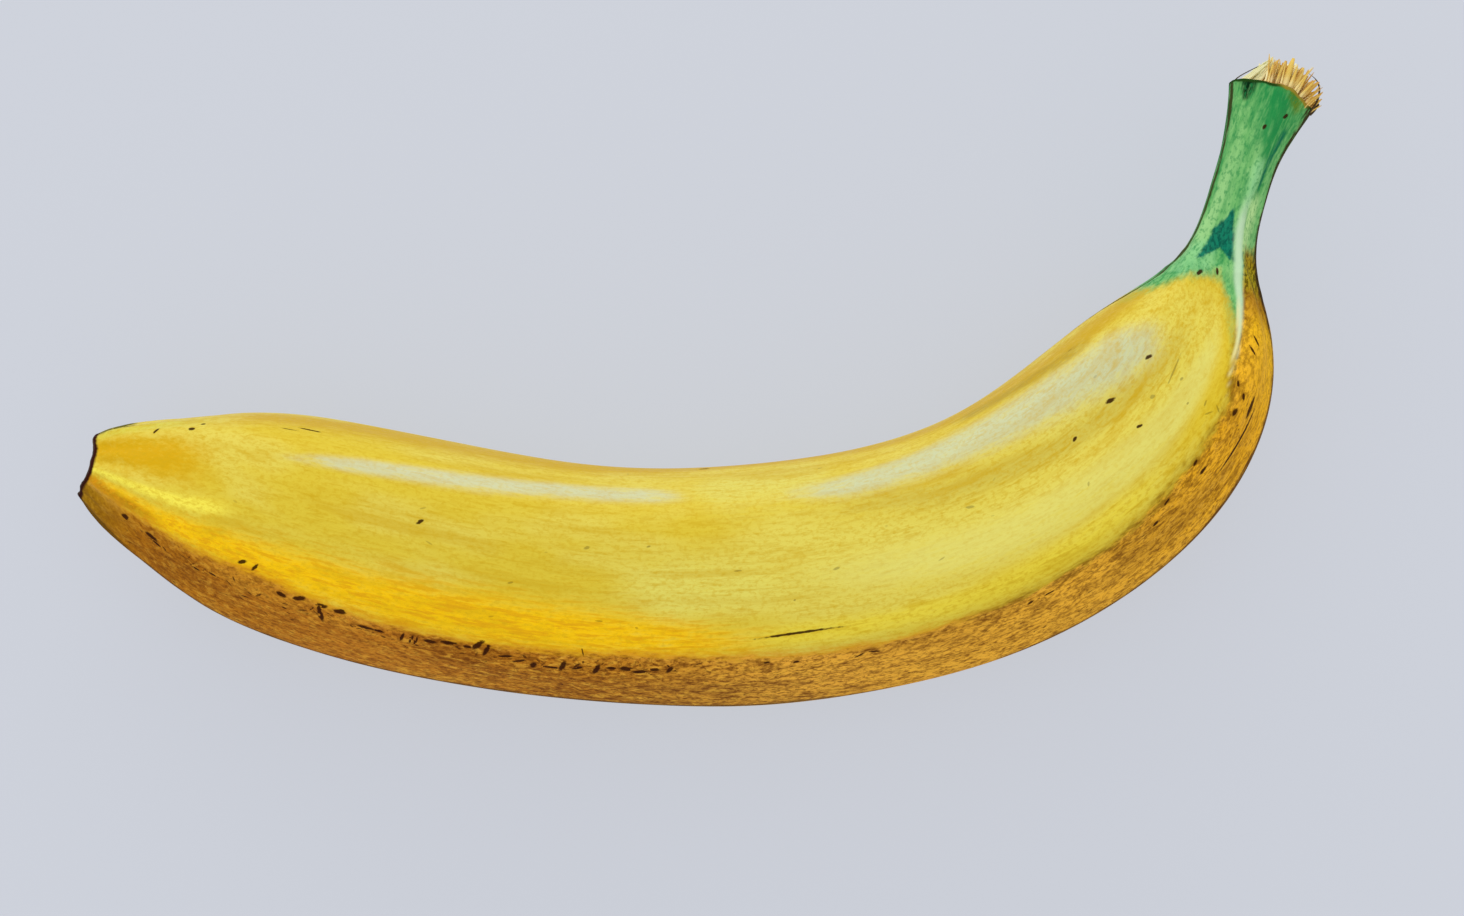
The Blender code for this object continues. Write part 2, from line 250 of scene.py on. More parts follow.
def centre_at(shares):
    """Centre points, lifted a little at both ends."""
    even = np.linspace(0, 1, len(LINE))
    x, y = np.interp(shares, even, LINE[:, 0]), np.interp(shares, even, LINE[:, 1])
    lift = TIP_LIFT * bell(shares, 0, TIP_LIFT_REACH) + STEM_LIFT * step(shares, STEM_LIFT_FROM, 1.0)
    return np.column_stack([x, y, lift])


def rim_shift(shares, across, up):
    """How far the rings' points move along the centreline to shape the nearest rim."""
    scar = SCAR_SADDLE * across**2 + SCAR_SLANT * across
    to_scar, to_cut = shares[:, None] * LENGTH, (1 - shares[:, None]) * LENGTH
    return CUT_BULGE * up**2 * bell(to_cut, 0, RIM_FADE) - scar * bell(to_scar, 0, RIM_FADE)


class Peel:
    """The peel as rings of points, with where each point lies along and around the fruit."""

    def __init__(self):
        self.shares = ring_shares()
        self.angles = section_angles(self.shares)
        shape = self.angles.shape
        self.share = np.broadcast_to(self.shares[:, None], shape)
        section = sections(self.shares, self.angles)
        self.across, self.up = section[..., 0], section[..., 1]
        half_width = half_width_at(self.shares)[:, None] * WIDTH / 2
        half_depth = half_depth_at(self.shares)[:, None] * DEPTH / 2
        forward, inward = forward_at(self.shares)[:, None], inward_at(self.shares)[:, None]
        self.points = (
            centre_at(self.shares)[:, None]
            + forward * rim_shift(self.shares, self.across, self.up)[..., None]
            + inward * (self.across * half_width)[..., None]
            + np.array([0, 0, 1]) * (self.up * half_depth)[..., None]
        )
        low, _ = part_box(NODE)
        lowest = self.points.reshape(-1, 3).min(axis=0)
        self.shift = np.array([low.x, low.y, low.z - REST_CUT]) - lowest
        self.points += self.shift
        self.floor = low.z
        # Unbent coordinates in millimetres: along, towards the concave side, up
        self.straight = np.stack(
            [self.share * LENGTH, self.across * half_width, self.up * half_depth], axis=-1
        ) * MM
        edges = np.linalg.norm(np.diff(self.points, axis=1, append=self.points[:, :1]), axis=-1) * MM
        around = np.cumsum(edges, axis=1) - edges
        girth = edges.sum(axis=1, keepdims=True)
        browns = np.interp(self.shares, *np.array(BROWN_EDGE).T)
        starts = [np.interp(brown, *ring) for brown, *ring in zip(browns, self.angles, around)]
        past = around - np.array(starts)[:, None]
        self.past_brown = np.where(past > girth / 2, past - girth, past)

    def normals(self):
        """Outward directions of the rings' points."""
        along = np.gradient(self.points, axis=0)
        around = np.roll(self.points, -1, axis=1) - np.roll(self.points, 1, axis=1)
        normal = np.cross(around, along)
        return normal / np.linalg.norm(normal, axis=-1, keepdims=True)


# Relief: its height in metres, and the size of its noise along and around in millimetres
SWELLS = 0.00022, (24.0, 9.0)  # long soft dents and swells
CORDS = 0.000045, (26.0, 1.5)  # fine cords that run the length of the peel
STEM_CORDS = 0.00013, (14.0, 1.1)  # deeper on the stem
RAGGED = 0.00022, (3.0, 1.6)  # unevenness of the two rims
RAGGED_REACH = 0.006
STEM_RELIEF = 0.84, 0.90  # the shares where the stem's cords start and are full
PUCKERS = 0.00016  # folds that run into the blossom scar
PUCKER_COUNT = 17
PUCKER_START = 0.01
PUCKER_REACH = 0.050
PUCKER_WANDER = 2.5, (9.0, 6.0)  # how far they stray, in radians of their wave, and the size of its noise
SCAR_DIP = 0.0006, 0.35, 0.8  # depth of the scar's rim, where across the fruit it is deepest, and its reach
SCAR_NUB = 0.0008, 0.17  # height and size of the dried nub in the middle of the scar
SCAR_FOLDS = 0.00030, 9, 0.55, 0.22  # depth and number of the folds round the nub, their ring and its reach


def noise_field(peel, height_and_size, seed):
    """Smooth noise up to a height, with a size along the fruit and a size around it."""
    height, (along, around) = height_and_size
    scale = np.array([1 / along, 1 / around, 1 / around])
    places = (peel.straight.reshape(-1, 3) * scale + seed * NOISE_STEP).tolist()
    return height * np.array([noise.noise(place) for place in places]).reshape(peel.share.shape)


def add_relief(peel):
    """Moves the points a little, for the dents, cords and puckers of a real peel."""
    stem = step(peel.share, *STEM_RELIEF)
    height = (noise_field(peel, SWELLS, 1) + noise_field(peel, CORDS, 2)) * (1 - stem)
    height += noise_field(peel, STEM_CORDS, 3) * stem
    fold = np.sin(np.radians(peel.angles) * PUCKER_COUNT + noise_field(peel, PUCKER_WANDER, 4))
    height += PUCKERS * fold * bell(peel.share, 0, PUCKER_REACH) * step(peel.share, 0, PUCKER_START)
    ends = bell(peel.share, 0, RAGGED_REACH) + bell(peel.share, 1, RAGGED_REACH)
    depth, deepest, reach = SCAR_DIP
    dip = depth * bell(peel.across, deepest, reach) * bell(peel.share, 0, RIM_FADE / LENGTH)
    peel.points += peel.normals() * height[..., None]
    slide = noise_field(peel, RAGGED, 5) * ends + dip
    peel.points += forward_at(peel.shares)[:, None] * slide[..., None]
    peel.points[..., 2] = np.maximum(peel.points[..., 2], peel.floor)


CAP_SIZES = 1 - ((np.arange(CAP_RINGS) + 1) / (CAP_RINGS + 1)) ** CAP_CROWDING


def cap_rings(rim, outward, height_at, rough, seed):
    """Smaller and smaller copies of a rim, and the middle point."""
    middle = rim.mean(axis=0)
    rings = []
    for size in CAP_SIZES:
        offsets = (rim - middle) * size
        grain = np.array([noise.noise(tuple(offset * MM * CAP_GRAIN_SIZE + seed)) for offset in offsets])
        height = height_at(size, offsets) + rough * grain * (1 - size**CAP_GRAIN_FADE)
        rings.append(middle + offsets + outward * height[:, None])
    top = middle + outward * height_at(0.0, np.zeros((1, 3)))[0]
    return rings, top


def scar_height(size, offsets):
    """The blossom scar is a shallow dish, with folds round a small dried nub."""
    nub, nub_size = SCAR_NUB
    depth, count, ring, reach = SCAR_FOLDS
    turn = np.arctan2(offsets[:, 2], offsets @ INWARDS[0])
    folds = depth * np.sin(count * turn) * bell(size, ring, reach)
    return scar_profile_at(size) + nub * bell(size, 0, nub_size) + folds


def core_height(size, offsets):
    """The torn core follows the fibres: it is low on the concave side."""
    across = offsets @ INWARDS[1] / (half_width_at(1.0) * WIDTH / 2)
    return core_profile_at(size) * fibre_height_at(across)


# Where the brown face starts: share of LENGTH, then the angle round the fruit
BROWN_EDGE = (
    (0, 117), (0.022, 118), (0.072, 121), (0.133, 119), (0.188, 125), (0.247, 127), (0.333, 126),
    (0.39, 124), (0.465, 126), (0.535, 127), (0.59, 126), (0.655, 125), (0.705, 124), (0.745, 120.5),
    (0.8, 120.5), (0.815, 117.5), (0.86, 118.5), (0.885, 119), (0.905, 110), (1, 106),
)

# The edge of the green: the angle round the fruit, then the share of LENGTH where it starts
GREEN_EDGE = (
    (0, 0.843), (17, 0.846), (41, 0.85), (50, 0.858), (64, 0.866), (84, 0.871), (97, 0.87), (105, 0.864),
    (109, 0.857), (115, 0.848), (119, 0.852), (124, 0.88), (135, 0.893), (175, 0.893), (187, 0.875),
    (215, 0.868), (242, 0.848), (270, 0.866), (300, 0.845), (330, 0.855), (360, 0.843),
)

# Washes of colour: the colour on a screen, how much of it, the shares where it starts, is full, fades and
# ends, and its path of (share, angle, reach in degrees)
YELLOW_WASHES = {
    "lemon": ((226, 218, 104), 0.8, (0.34, 0.41, 0.46, 0.5), (
        (0.34, 90, 10), (0.42, 92, 18), (0.5, 90, 10))),
    "gap_lemon": ((220, 212, 104), 0.8, (0.4, 0.45, 0.5, 0.56), (
        (0.4, 42, 10), (0.45, 42, 18), (0.5, 38, 20), (0.56, 40, 10))),
    "right_lemon": ((226, 213, 94), 0.7, (0.4, 0.5, 0.84, 0.88), (
        (0.4, 84, 34), (0.86, 84, 38))),
    # painted light: a paler band where the top face rises towards the light beyond the groove
    "painted_light_band": ((224, 216, 112), 0.82, (0.44, 0.6, 0.81, 0.86), (
        (0.44, 88, 8), (0.5, 90, 10), (0.58, 93, 12), (0.64, 96, 12), (0.7, 97, 11), (0.75, 99, 10),
        (0.8, 102, 9), (0.84, 104, 9))),
    # painted shade: a darker band down the shallow groove near the neck
    "groove_shade": ((204, 184, 74), 0.8, (0.46, 0.6, 0.8, 0.86), (
        (0.5, 62, 7), (0.56, 61, 7), (0.605, 65, 6), (0.652, 67, 6), (0.71, 73, 6), (0.758, 75, 7),
        (0.805, 81, 8), (0.85, 82, 9))),
    "tip_gold": ((214, 166, 0), 1, (-0.01, 0.005, 0.045, 0.115), (
        (0, 62, 22), (0.05, 66, 20), (0.12, 72, 16), (0.2, 74, 10))),
    "heel_gold": ((252, 200, 0), 1, (-0.01, 0.03, 0.39, 0.53), (
        (0, 106, 9), (0.05, 112, 8), (0.11, 112, 10), (0.16, 113, 12), (0.25, 115, 14), (0.34, 115, 14),
        (0.42, 117, 10), (0.5, 119, 7))),
    "heel_warm": ((238, 216, 58), 0.75, (0.42, 0.5, 0.7, 0.78), (
        (0.42, 116, 6), (0.6, 116, 6), (0.78, 112, 7))),
    "heel_deep": ((222, 190, 30), 0.75, (0.7, 0.78, 0.85, 0.88), (
        (0.7, 116, 6), (0.78, 113, 7), (0.86, 110, 8))),
    # painted highlight along the crease at the tip
    "tip_crease_highlight": ((250, 236, 84), 1, (-0.01, 0, 0.08, 0.13), (
        (0, 94, 4), (0.035, 96, 4), (0.065, 96, 4.8), (0.1, 93, 6), (0.13, 92, 6))),
    "tip_edge": ((206, 202, 66), 0.6, (-0.01, 0, 0.03, 0.11), (
        (0, 34, 12), (0.05, 32, 11), (0.1, 30, 9))),
    # painted highlight along the ridge on the concave side: a thin band, then a wide one nearer the neck
    "painted_highlight": ((204, 208, 168), 0.95, (0.1, 0.185, 0.385, 0.44), (
        (0.12, 58, 2.6), (0.155, 56, 3.6), (0.21, 53, 4.4), (0.27, 50, 5.6), (0.325, 46, 6),
        (0.385, 45, 6), (0.44, 47, 5))),
    "wide_painted_highlight": ((200, 206, 164), 0.95, (0.46, 0.54, 0.79, 0.845), (
        (0.46, 50, 5), (0.53, 50, 6.5), (0.58, 48, 8), (0.635, 47, 9.5), (0.695, 49, 11), (0.735, 52, 13),
        (0.765, 57, 14), (0.8, 62, 15), (0.84, 66, 9))),
    # the peel's deeper gold along the concave edge, with painted shade where that side turns away
    "edge_gold_shade": ((200, 158, 26), 0.8, (0.04, 0.12, 0.82, 0.87), (
        (0.04, 20, 14), (0.12, 24, 14), (0.2, 18, 14), (0.36, 12, 14), (0.46, 8, 9), (0.53, 8, 9),
        (0.59, 13, 10), (0.65, 16, 11), (0.71, 22, 12), (0.78, 30, 12), (0.84, 30, 12))),
    "edge_brown": ((166, 136, 40), 0.75, (0.62, 0.66, 0.76, 0.8), (
        (0.62, 26, 5), (0.66, 28, 6), (0.7, 31, 6), (0.76, 38, 6), (0.8, 40, 5))),
    "tip_shade": ((178, 120, 0), 1, (-0.01, 0, 0.03, 0.09), (
        (0, 108, 7), (0.03, 112, 6), (0.09, 114, 5))),
    "green_glow": ((170, 182, 84), 0.85, (0.8, 0.845, 1.1, 1.2), (
        (0.8, 116, 2), (0.83, 115, 4), (0.85, 111, 7), (0.87, 106, 9))),
    "green_glow_left": ((172, 176, 58), 0.8, (0.815, 0.84, 1.1, 1.2), (
        (0.81, 20, 10), (0.84, 26, 12), (0.86, 44, 12))),
}
GREEN_WASHES = {
    "stem_pale": ((156, 206, 134), 0.7, (0.86, 0.9, 0.93, 0.97), (
        (0.86, 22, 14), (0.89, 44, 12), (0.92, 50, 13), (0.955, 50, 13))),
    "neck_mint": ((136, 204, 140), 0.55, (0.86, 0.868, 0.885, 0.9), (
        (0.86, 55, 26), (0.88, 60, 28), (0.9, 60, 20))),
    # the stem's deeper green, with painted shade on its side away from the light
    "stem_deep_shade": ((22, 138, 68), 0.88, (0.93, 0.98, 1.1, 1.2), (
        (0.93, 132, 12), (0.955, 122, 20), (0.975, 108, 34), (1, 94, 38))),
    "neck_pale": ((154, 216, 150), 0.75, (0.915, 0.925, 0.945, 0.965), (
        (0.915, 110, 9), (0.93, 113, 13), (0.95, 110, 15), (0.965, 106, 12))),
    "strip_pale": ((186, 226, 150), 1, (0.885, 0.897, 0.918, 0.945), (
        (0.885, 134, 16), (0.9, 132, 20), (0.915, 129, 20), (0.945, 126, 14))),
    # painted shade: a dark blue-green streak in the groove beside the stem's pale ridge
    "teal_streak": ((14, 104, 74), 0.95, (0.928, 0.938, 0.975, 0.985), (
        (0.928, 127, 2.5), (0.943, 128, 5), (0.955, 129, 7), (0.968, 132, 8), (0.985, 134, 6))),
    "rim_olive": ((96, 124, 18), 0.85, (0.984, 0.995, 1.1, 1.2), (
        (0.984, 130, 8), (0.992, 128, 14), (1, 120, 26))),
    # painted shade: a near-black patch just below the cut's rim
    "under_rim_shade": ((2, 40, 14), 1, (0.984, 0.99, 1.1, 1.2), (
        (0.984, 49, 3), (0.99, 50, 7), (0.995, 51, 13), (1, 51, 20))),
    "left_shade": ((34, 84, 44), 0.8, (0.845, 0.875, 1.1, 1.2), (
        (0.845, -6, 14), (0.88, 2, 22), (0.92, 4, 20), (1, 0, 20))),
}
# Painted highlights: pale lines along the crests of the main ridge and of the stem's ridge
PAINTED_HIGHLIGHT_LINES = {
    "ridge_line": ((198, 226, 188), 0.85, (0.8, 0.85, 0.9, 0.945), (
        (0.8, 119.5, 0.8), (0.835, 117.5, 1.6), (0.86, 118.5, 3.6), (0.885, 115.5, 7), (0.905, 109, 10),
        (0.92, 107, 11), (0.945, 106, 11))),
    "ridge_thread": ((236, 228, 160), 0.8, (0.785, 0.83, 0.85, 0.87), (
        (0.76, 117.5, 0.9), (0.8, 118.5, 1), (0.815, 116, 1.2), (0.835, 116.5, 1.3), (0.87, 117.5, 2))),
}
DARK_LINES = {
    "left_line": ((54, 52, 16), 0.92, (0.7, 0.845, 1.1, 1.2), (
        (0.7, 1, 1.6), (0.76, 2, 1.8), (0.8, 1, 2.4), (0.855, 14, 5), (0.875, 26, 6.5), (0.92, 28, 5.5),
        (0.95, 25, 6), (0.975, 20, 7), (1, 21, 8))),
    "right_line": ((54, 36, 10), 0.95, (0.82, 0.86, 1.1, 1.2), (
        (0.82, 182, 4.5), (0.845, 184, 4.5), (0.863, 185, 5.5), (0.88, 179, 6.5), (0.91, 168, 6),
        (0.94, 163, 6), (0.96, 163, 7), (0.985, 163, 9), (1, 162, 13))),
    "back_line": ((84, 46, 8), 0.88, (0.56, 0.66, 0.82, 0.85), (
        (0.56, 178, 2.6), (0.66, 177, 3), (0.7, 176, 3), (0.75, 177, 3.6), (0.79, 179, 5.5),
        (0.82, 182, 5.5), (0.85, 184, 4.5))),
    "low_line": ((88, 60, 12), 0.75, (-0.01, 0, 0.48, 0.6), (
        (0, 169, 5), (0.05, 174, 4), (0.1, 178, 3.2), (0.2, 181, 2.8), (0.4, 182, 2.8), (0.6, 178, 2.4))),
    "tip_line": ((66, 66, 8), 0.9, (-0.01, 0, 0.01, 0.032), (
        (0, 13, 15), (0.035, 12, 11))),
}
WASHES = {**YELLOW_WASHES, **GREEN_WASHES, **PAINTED_HIGHLIGHT_LINES, **DARK_LINES}

# The blue-green hollow at the neck, painted shade in the hollow: its left side, its right side and its
# notched lower edge
TEAL_LEFT = ((0.87, 58), (0.89, 58), (0.902, 59), (0.91, 71), (0.917, 83), (0.925, 98))
TEAL_RIGHT = ((0.87, 111), (0.885, 109), (0.897, 105), (0.91, 97), (0.917, 88), (0.925, 80))
TEAL_BASE = (
    (40, 0.884), (60, 0.88), (72, 0.8855), (79, 0.8895), (84, 0.8905), (95, 0.8875), (105, 0.8825),
    (110, 0.884), (125, 0.89),
)


def wash_field(peel, name):
    """How strong a wash is at each point, from 0 to 1."""
    _, _, (start, full, fading, end), path = WASHES[name]
    shares, angles, reaches = np.array(path).T
    middle = np.interp(peel.share, shares, angles)
    reach = np.interp(peel.share, shares, reaches)
    fade = step(peel.share, start, full) * (1 - step(peel.share, fading, end))
    return bell(turned(peel.angles, middle), 0, reach) * fade


def green_field(peel):
    """Millimetres past the edge where the yellow turns green."""
    angles, edges = np.array(GREEN_EDGE).T
    edge = np.interp(peel.angles % 360, angles, edges)
    return (peel.share - edge) * LENGTH * MM


def teal_field(peel):
    """Millimetres inside the hollow's outline, less than 0 outside it, where the hollow's painted shade goes.
    """
    left = np.interp(peel.share, *np.array(TEAL_LEFT).T)
    right = np.interp(peel.share, *np.array(TEAL_RIGHT).T)
    bottom = np.interp(peel.angles % 360, *np.array(TEAL_BASE).T)
    degree = half_width_at(peel.shares)[:, None] * WIDTH / 2 * math.pi / 180 * MM
    inside = np.minimum(peel.angles % 360 - left, right - peel.angles % 360) * degree
    return np.minimum(inside, (peel.share - bottom) * LENGTH * MM)


# Dark marks: share of LENGTH, angle, length and breadth in millimetres, and lean from the length in degrees
MARKS = (
    (0.04, 44, 1.6, 0.6, 60), (0.062, 43, 1.3, 0.9, 0), (0.07, 39, 1, 0.7, 20), (0.13, 39, 4, 0.4, 4),
    (0.143, 37, 4, 0.5, 0), (0.235, 74, 1.6, 0.7, 40), (0.432, 12, 1.9, 0.8, 5), (0.797, 71, 1.4, 0.7, -4),
    (0.753, 72, 2, 0.8, -8), (0.753, 90, 1.3, 0.55, -12), (0.713, 73, 1.1, 0.6, 20),
    (0.49, 115.5, 15.5, 0.5, -1), (0.037, 126, 1.8, 1.2, 10), (0.058, 130, 3.2, 1.2, -8),
    (0.062, 134, 2, 0.7, -8), (0.094, 134, 1.6, 0.6, 0), (0.106, 131, 1.6, 0.6, 0),
    (0.125, 116, 2, 0.7, 30), (0.133, 117, 1.8, 0.7, 65), (0.155, 125, 2, 1.1, -5),
    (0.168, 124, 2.6, 1, 22), (0.181, 124, 2.2, 1, 5), (0.183, 130, 5, 1.1, -72),
    (0.193, 125, 2.4, 1.1, 10), (0.212, 131, 3.4, 0.9, 0), (0.222, 132, 2.2, 0.8, 0),
    (0.238, 132, 2.8, 0.6, 80), (0.242, 132, 3, 0.6, 80), (0.247, 132, 2.8, 0.6, 80),
    (0.256, 131, 2.6, 1.1, 5), (0.268, 130, 3.4, 1, 5), (0.279, 130, 1.8, 0.7, 0),
    (0.287, 128, 3, 1.2, 50), (0.293, 130, 3.2, 0.9, 75), (0.304, 132, 2.6, 0.7, 15),
    (0.313, 134, 2.6, 0.7, 25), (0.323, 136, 2.4, 1.3, 80), (0.334, 135, 4.6, 0.7, 0),
    (0.342, 134, 3.4, 1.1, 75), (0.351, 135, 2, 1, 30), (0.361, 134, 3.8, 1, 72), (0.37, 133, 2, 0.8, 0),
    (0.38, 133, 2.6, 1.3, 0), (0.39, 134, 3.4, 1.1, 5), (0.4, 133, 2, 0.9, 0), (0.407, 132, 2.2, 1, 60),
    (0.468, 129, 1.4, 0.6, 0), (0.487, 131, 1.3, 0.6, 0), (0.528, 131, 2.2, 0.5, 25),
    (0.537, 131, 2.2, 0.5, -20), (0.635, 131, 1.4, 0.7, 20), (0.645, 132, 2.2, 0.5, 0),
    (0.72, 131, 1.4, 0.9, 10), (0.758, 122, 1.6, 0.7, 20), (0.758, 129, 2, 0.9, 10),
    (0.795, 126, 1.7, 1, 0), (0.805, 128, 1.5, 0.7, 40), (0.838, 130, 2.4, 0.5, 40),
    (0.832, 128, 2.2, 0.5, 50), (0.803, 139, 4.6, 1.5, 10), (0.784, 144, 15, 1, 6),
    (0.81, 122, 1.2, 0.6, 30), (0.73, 125, 1.8, 0.6, 20), (0.87, 71, 1.6, 0.8, -35),
    (0.874, 91, 1.5, 0.5, 5), (0.975, 94, 1.2, 0.7, -15), (0.985, 119, 1.2, 0.8, -30),
)
FAINT_MARKS = (
    (0.798, 88.5, 6.5, 0.35, 20), (0.775, 87, 1.2, 0.7, -10), (0.792, 116, 1.8, 0.35, 60),
    (0.786, 114, 1.6, 0.35, -30), (0.79, 111, 1.4, 0.35, 20), (0.35, 74, 1.2, 0.6, 20),
    (0.52, 88, 1.4, 0.5, 10), (0.62, 76, 1.6, 0.5, -20), (0.455, 84, 1.4, 0.35, 0),
    (0.3, 95, 1.2, 0.4, 20),
)
FAINT = 0.42  # how dark the faint marks are
FAR_SPOT = 9.0  # stands for no mark nearby
SPOT_MARGIN = 2.0  # a mark only counts within its length and this many millimetres

# Small random flecks: how many, then the ranges that they are drawn from
FLECKS = 260
FLECK_SHARES = 0.03, 0.87
FLECK_LEAN = 25
FLECK_LENGTH = 0.4, 1.4
FLECK_BREADTH = 0.2, 0.45
# One in four lies anywhere, and the others on the brown face: the angles, and how dark they are
ANYWHERE_EVERY = 4
ANYWHERE_FLECKS = (0, 360), (0.15, 0.50)
BROWN_FLECKS = (128, 190), (0.35, 0.80)
# Short dark strokes along the start of the brown face
SEAM_FLECKS = 70
SEAM_SHARES = 0.05, 0.43
SEAM_ANGLE = 132, 2.6
SEAM_LEAN = -85, 85
SEAM_DARKNESS = 0.45, 0.95
SEAM_LENGTH = 0.7, 2.0
SEAM_BREADTH = 0.25, 0.55


def random_flecks(rng):
    """Places and sizes of the small flecks, as for the marks, with how dark each is."""
    flecks = []
    for index in range(FLECKS):
        angles, darkness = BROWN_FLECKS if index % ANYWHERE_EVERY else ANYWHERE_FLECKS
        angle = rng.uniform(*angles)
        share = rng.uniform(*FLECK_SHARES)
        lean = rng.gauss(0, FLECK_LEAN)
        dark = rng.uniform(*darkness)
        flecks.append((share, angle, rng.uniform(*FLECK_LENGTH), rng.uniform(*FLECK_BREADTH), lean, dark))
    for _ in range(SEAM_FLECKS):
        share, angle, lean = rng.uniform(*SEAM_SHARES), rng.gauss(*SEAM_ANGLE), rng.uniform(*SEAM_LEAN)
        dark = rng.uniform(*SEAM_DARKNESS)
        flecks.append((share, angle, rng.uniform(*SEAM_LENGTH), rng.uniform(*SEAM_BREADTH), lean, dark))
    return flecks


def mark_frames(peel, marks):
    """Each mark's place on the peel, and its own two directions, scaled so that its edge is at 1."""
    normal = peel.normals()
    places, alongs, crosses = [], [], []
    for share, angle, length, breadth, lean, _ in marks:
        ring = int(np.argmin(abs(peel.shares - share)))
        point = int(np.argmin(abs(turned(peel.angles[ring], angle))))
        ahead = peel.points[min(ring + 1, len(peel.shares) - 1), point] - peel.points[ring - 1, point]
        ahead = ahead / np.linalg.norm(ahead)
        side = np.cross(normal[ring, point], ahead)
        turn = math.radians(lean)
        places.append(peel.points[ring, point])
        alongs.append((ahead * math.cos(turn) + side * math.sin(turn)) * 2 * MM / length)
        crosses.append((side * math.cos(turn) - ahead * math.sin(turn)) * 2 * MM / breadth)
    return np.array(places), np.array(alongs), np.array(crosses)


def spot_field(peel, faces):
    """For each corner of each face: its place in a mark's own coordinates, and how dark that mark is.

    Every corner of a face holds the same mark, the nearest to the face, so a mark's edge stays sharp.
    """
    marks = [(*mark, 1.0) for mark in MARKS] + [(*mark, FAINT) for mark in FAINT_MARKS]
    marks += random_flecks(random.Random(SEED))
    places, alongs, crosses = mark_frames(peel, marks)
    corners = peel.points.reshape(-1, 3)[faces]
    middles = corners.mean(axis=1)
    nearest = np.full(len(faces), FAR_SPOT)
    chosen = np.zeros(len(faces), int)
    for index, mark in enumerate(marks):
        offset = middles - places[index]
        away = np.hypot(offset @ alongs[index], offset @ crosses[index])
        near = np.linalg.norm(offset, axis=1) * MM < mark[2] + SPOT_MARGIN
        closer = near & (away < nearest)
        nearest[closer], chosen[closer] = away[closer], index
    offset = corners - places[chosen][:, None]
    darkness = np.array([mark[-1] for mark in marks])[chosen]
    local = np.stack([
        np.einsum("fck,fk->fc", offset, alongs[chosen]),
        np.einsum("fck,fk->fc", offset, crosses[chosen]),
        np.broadcast_to(darkness[:, None], offset.shape[:2]),
    ], axis=-1)
    local[nearest >= FAR_SPOT] = FAR_SPOT, FAR_SPOT, 0
    return local


def grid_faces(rows, columns):
    """Quads between neighbouring rings, as an array of corner indices."""
    row, column = np.meshgrid(np.arange(rows - 1), np.arange(columns), indexing="ij")
    first, second = row * columns + column, row * columns + (column + 1) % columns
    return np.stack([first, second, second + columns, first + columns], axis=-1).reshape(-1, 4)


def close_end(skin, rim, rings, top, slot, flip):
    """Adds an end's rings and middle point to the skin, joined to the rim's indices."""
    points, faces, slots = skin
    order = np.concatenate([rim, np.arange(len(points), len(points) + len(rings) * len(rim))])
    for ring in rings:
        points.extend(ring.tolist())
    last = order[-len(rim) :]
    fan = np.column_stack([last, np.roll(last, -1), np.full(len(rim), len(points))])
    points.append(top.tolist())
    for block in (order[grid_faces(len(rings) + 1, len(rim))], fan):
        faces.extend((block[:, ::-1] if flip else block).tolist())
        slots.extend([slot] * len(block))


def set_field(mesh, name, values, kind="FLOAT", domain="POINT"):
    """Stores a field on a mesh: numbers or vectors, at its points or at its faces' corners."""
    attribute = mesh.attributes.new(name, kind, domain)
    key = "value" if kind == "FLOAT" else "vector"
    attribute.data.foreach_set(key, np.asarray(values, np.float32).ravel())


def make_mesh(name, points, faces, slots):
    """A new smooth mesh with a material slot for each face."""
    mesh = bpy.data.meshes.new(name)
    mesh.from_pydata(points, [], faces)
    mesh.polygons.foreach_set("material_index", slots)
    mesh.polygons.foreach_set("use_smooth", [True] * len(faces))
    mesh.update()
    return mesh


def make_peel():
    """The whole peel with its two ends, as one closed mesh with its fields."""
    peel = Peel()
    add_relief(peel)
    rows, columns = peel.angles.shape
    peel_points = rows * columns
    quads = grid_faces(rows, columns)
    skin = peel.points.reshape(-1, 3).tolist(), quads.tolist(), [PEEL_SLOT] * len(quads)
    scar = cap_rings(peel.points[0], -FORWARDS[0], scar_height, *SCAR_GRAIN)
    close_end(skin, np.arange(columns), *scar, SCAR_SLOT, True)
    core = cap_rings(peel.points[-1], FORWARDS[1], core_height, *CORE_GRAIN)
    close_end(skin, np.arange(peel_points - columns, peel_points), *core, CORE_SLOT, False)
    mesh = make_mesh("banana_skin", *skin)
    fields = {name: wash_field(peel, name) for name in WASHES}
    # the green edge, and the outline of the hollow's painted shade
    fields.update(share=peel.share, past_brown=peel.past_brown)
    fields.update(green=green_field(peel), teal=teal_field(peel))
    ends = np.array(skin[0][peel_points:]) * MM
    for name, values in fields.items():
        set_field(mesh, name, np.append(values, np.zeros(len(ends))))
    sizes = np.append(np.repeat(CAP_SIZES, columns), 0)
    set_field(mesh, "cap_size", np.concatenate([np.ones(peel_points), sizes, sizes]))
    set_field(mesh, "straight", np.append(peel.straight, ends), "FLOAT_VECTOR")
    corners = np.tile([FAR_SPOT, FAR_SPOT, 0.0], (len(mesh.loops), 1))
    corners[: quads.size] = spot_field(peel, quads).reshape(-1, 3)
    set_field(mesh, "spot", corners, "FLOAT_VECTOR", "CORNER")
    return peel, mesh


# Torn fibres on the cut end, in kinds: how many, radius in metres, breadth left at the tip, share of the torn
# edge's height that they reach, the shares of the rim's size that they stand between, and the share of a turn
# that they take up, about the concave side
STRAND_KINDS = (
    (200, (0.0003, 0.0005), (0.45, 0.8), (0.74, 0.94), (0, 0.88), 1),
    (400, (0.00015, 0.00028), (0.25, 0.55), (0.8, 1), (0, 0.94), 1),
    (130, (0.00016, 0.00028), (0.3, 0.6), (0.8, 1), (0.76, 0.95), 0.24),
    (6, (0.00007, 0.0001), (0.4, 0.6), (0.98, 1.05), (0, 0.6), 1),
)
GOLDEN_TURN = (3 - math.sqrt(5)) / 2
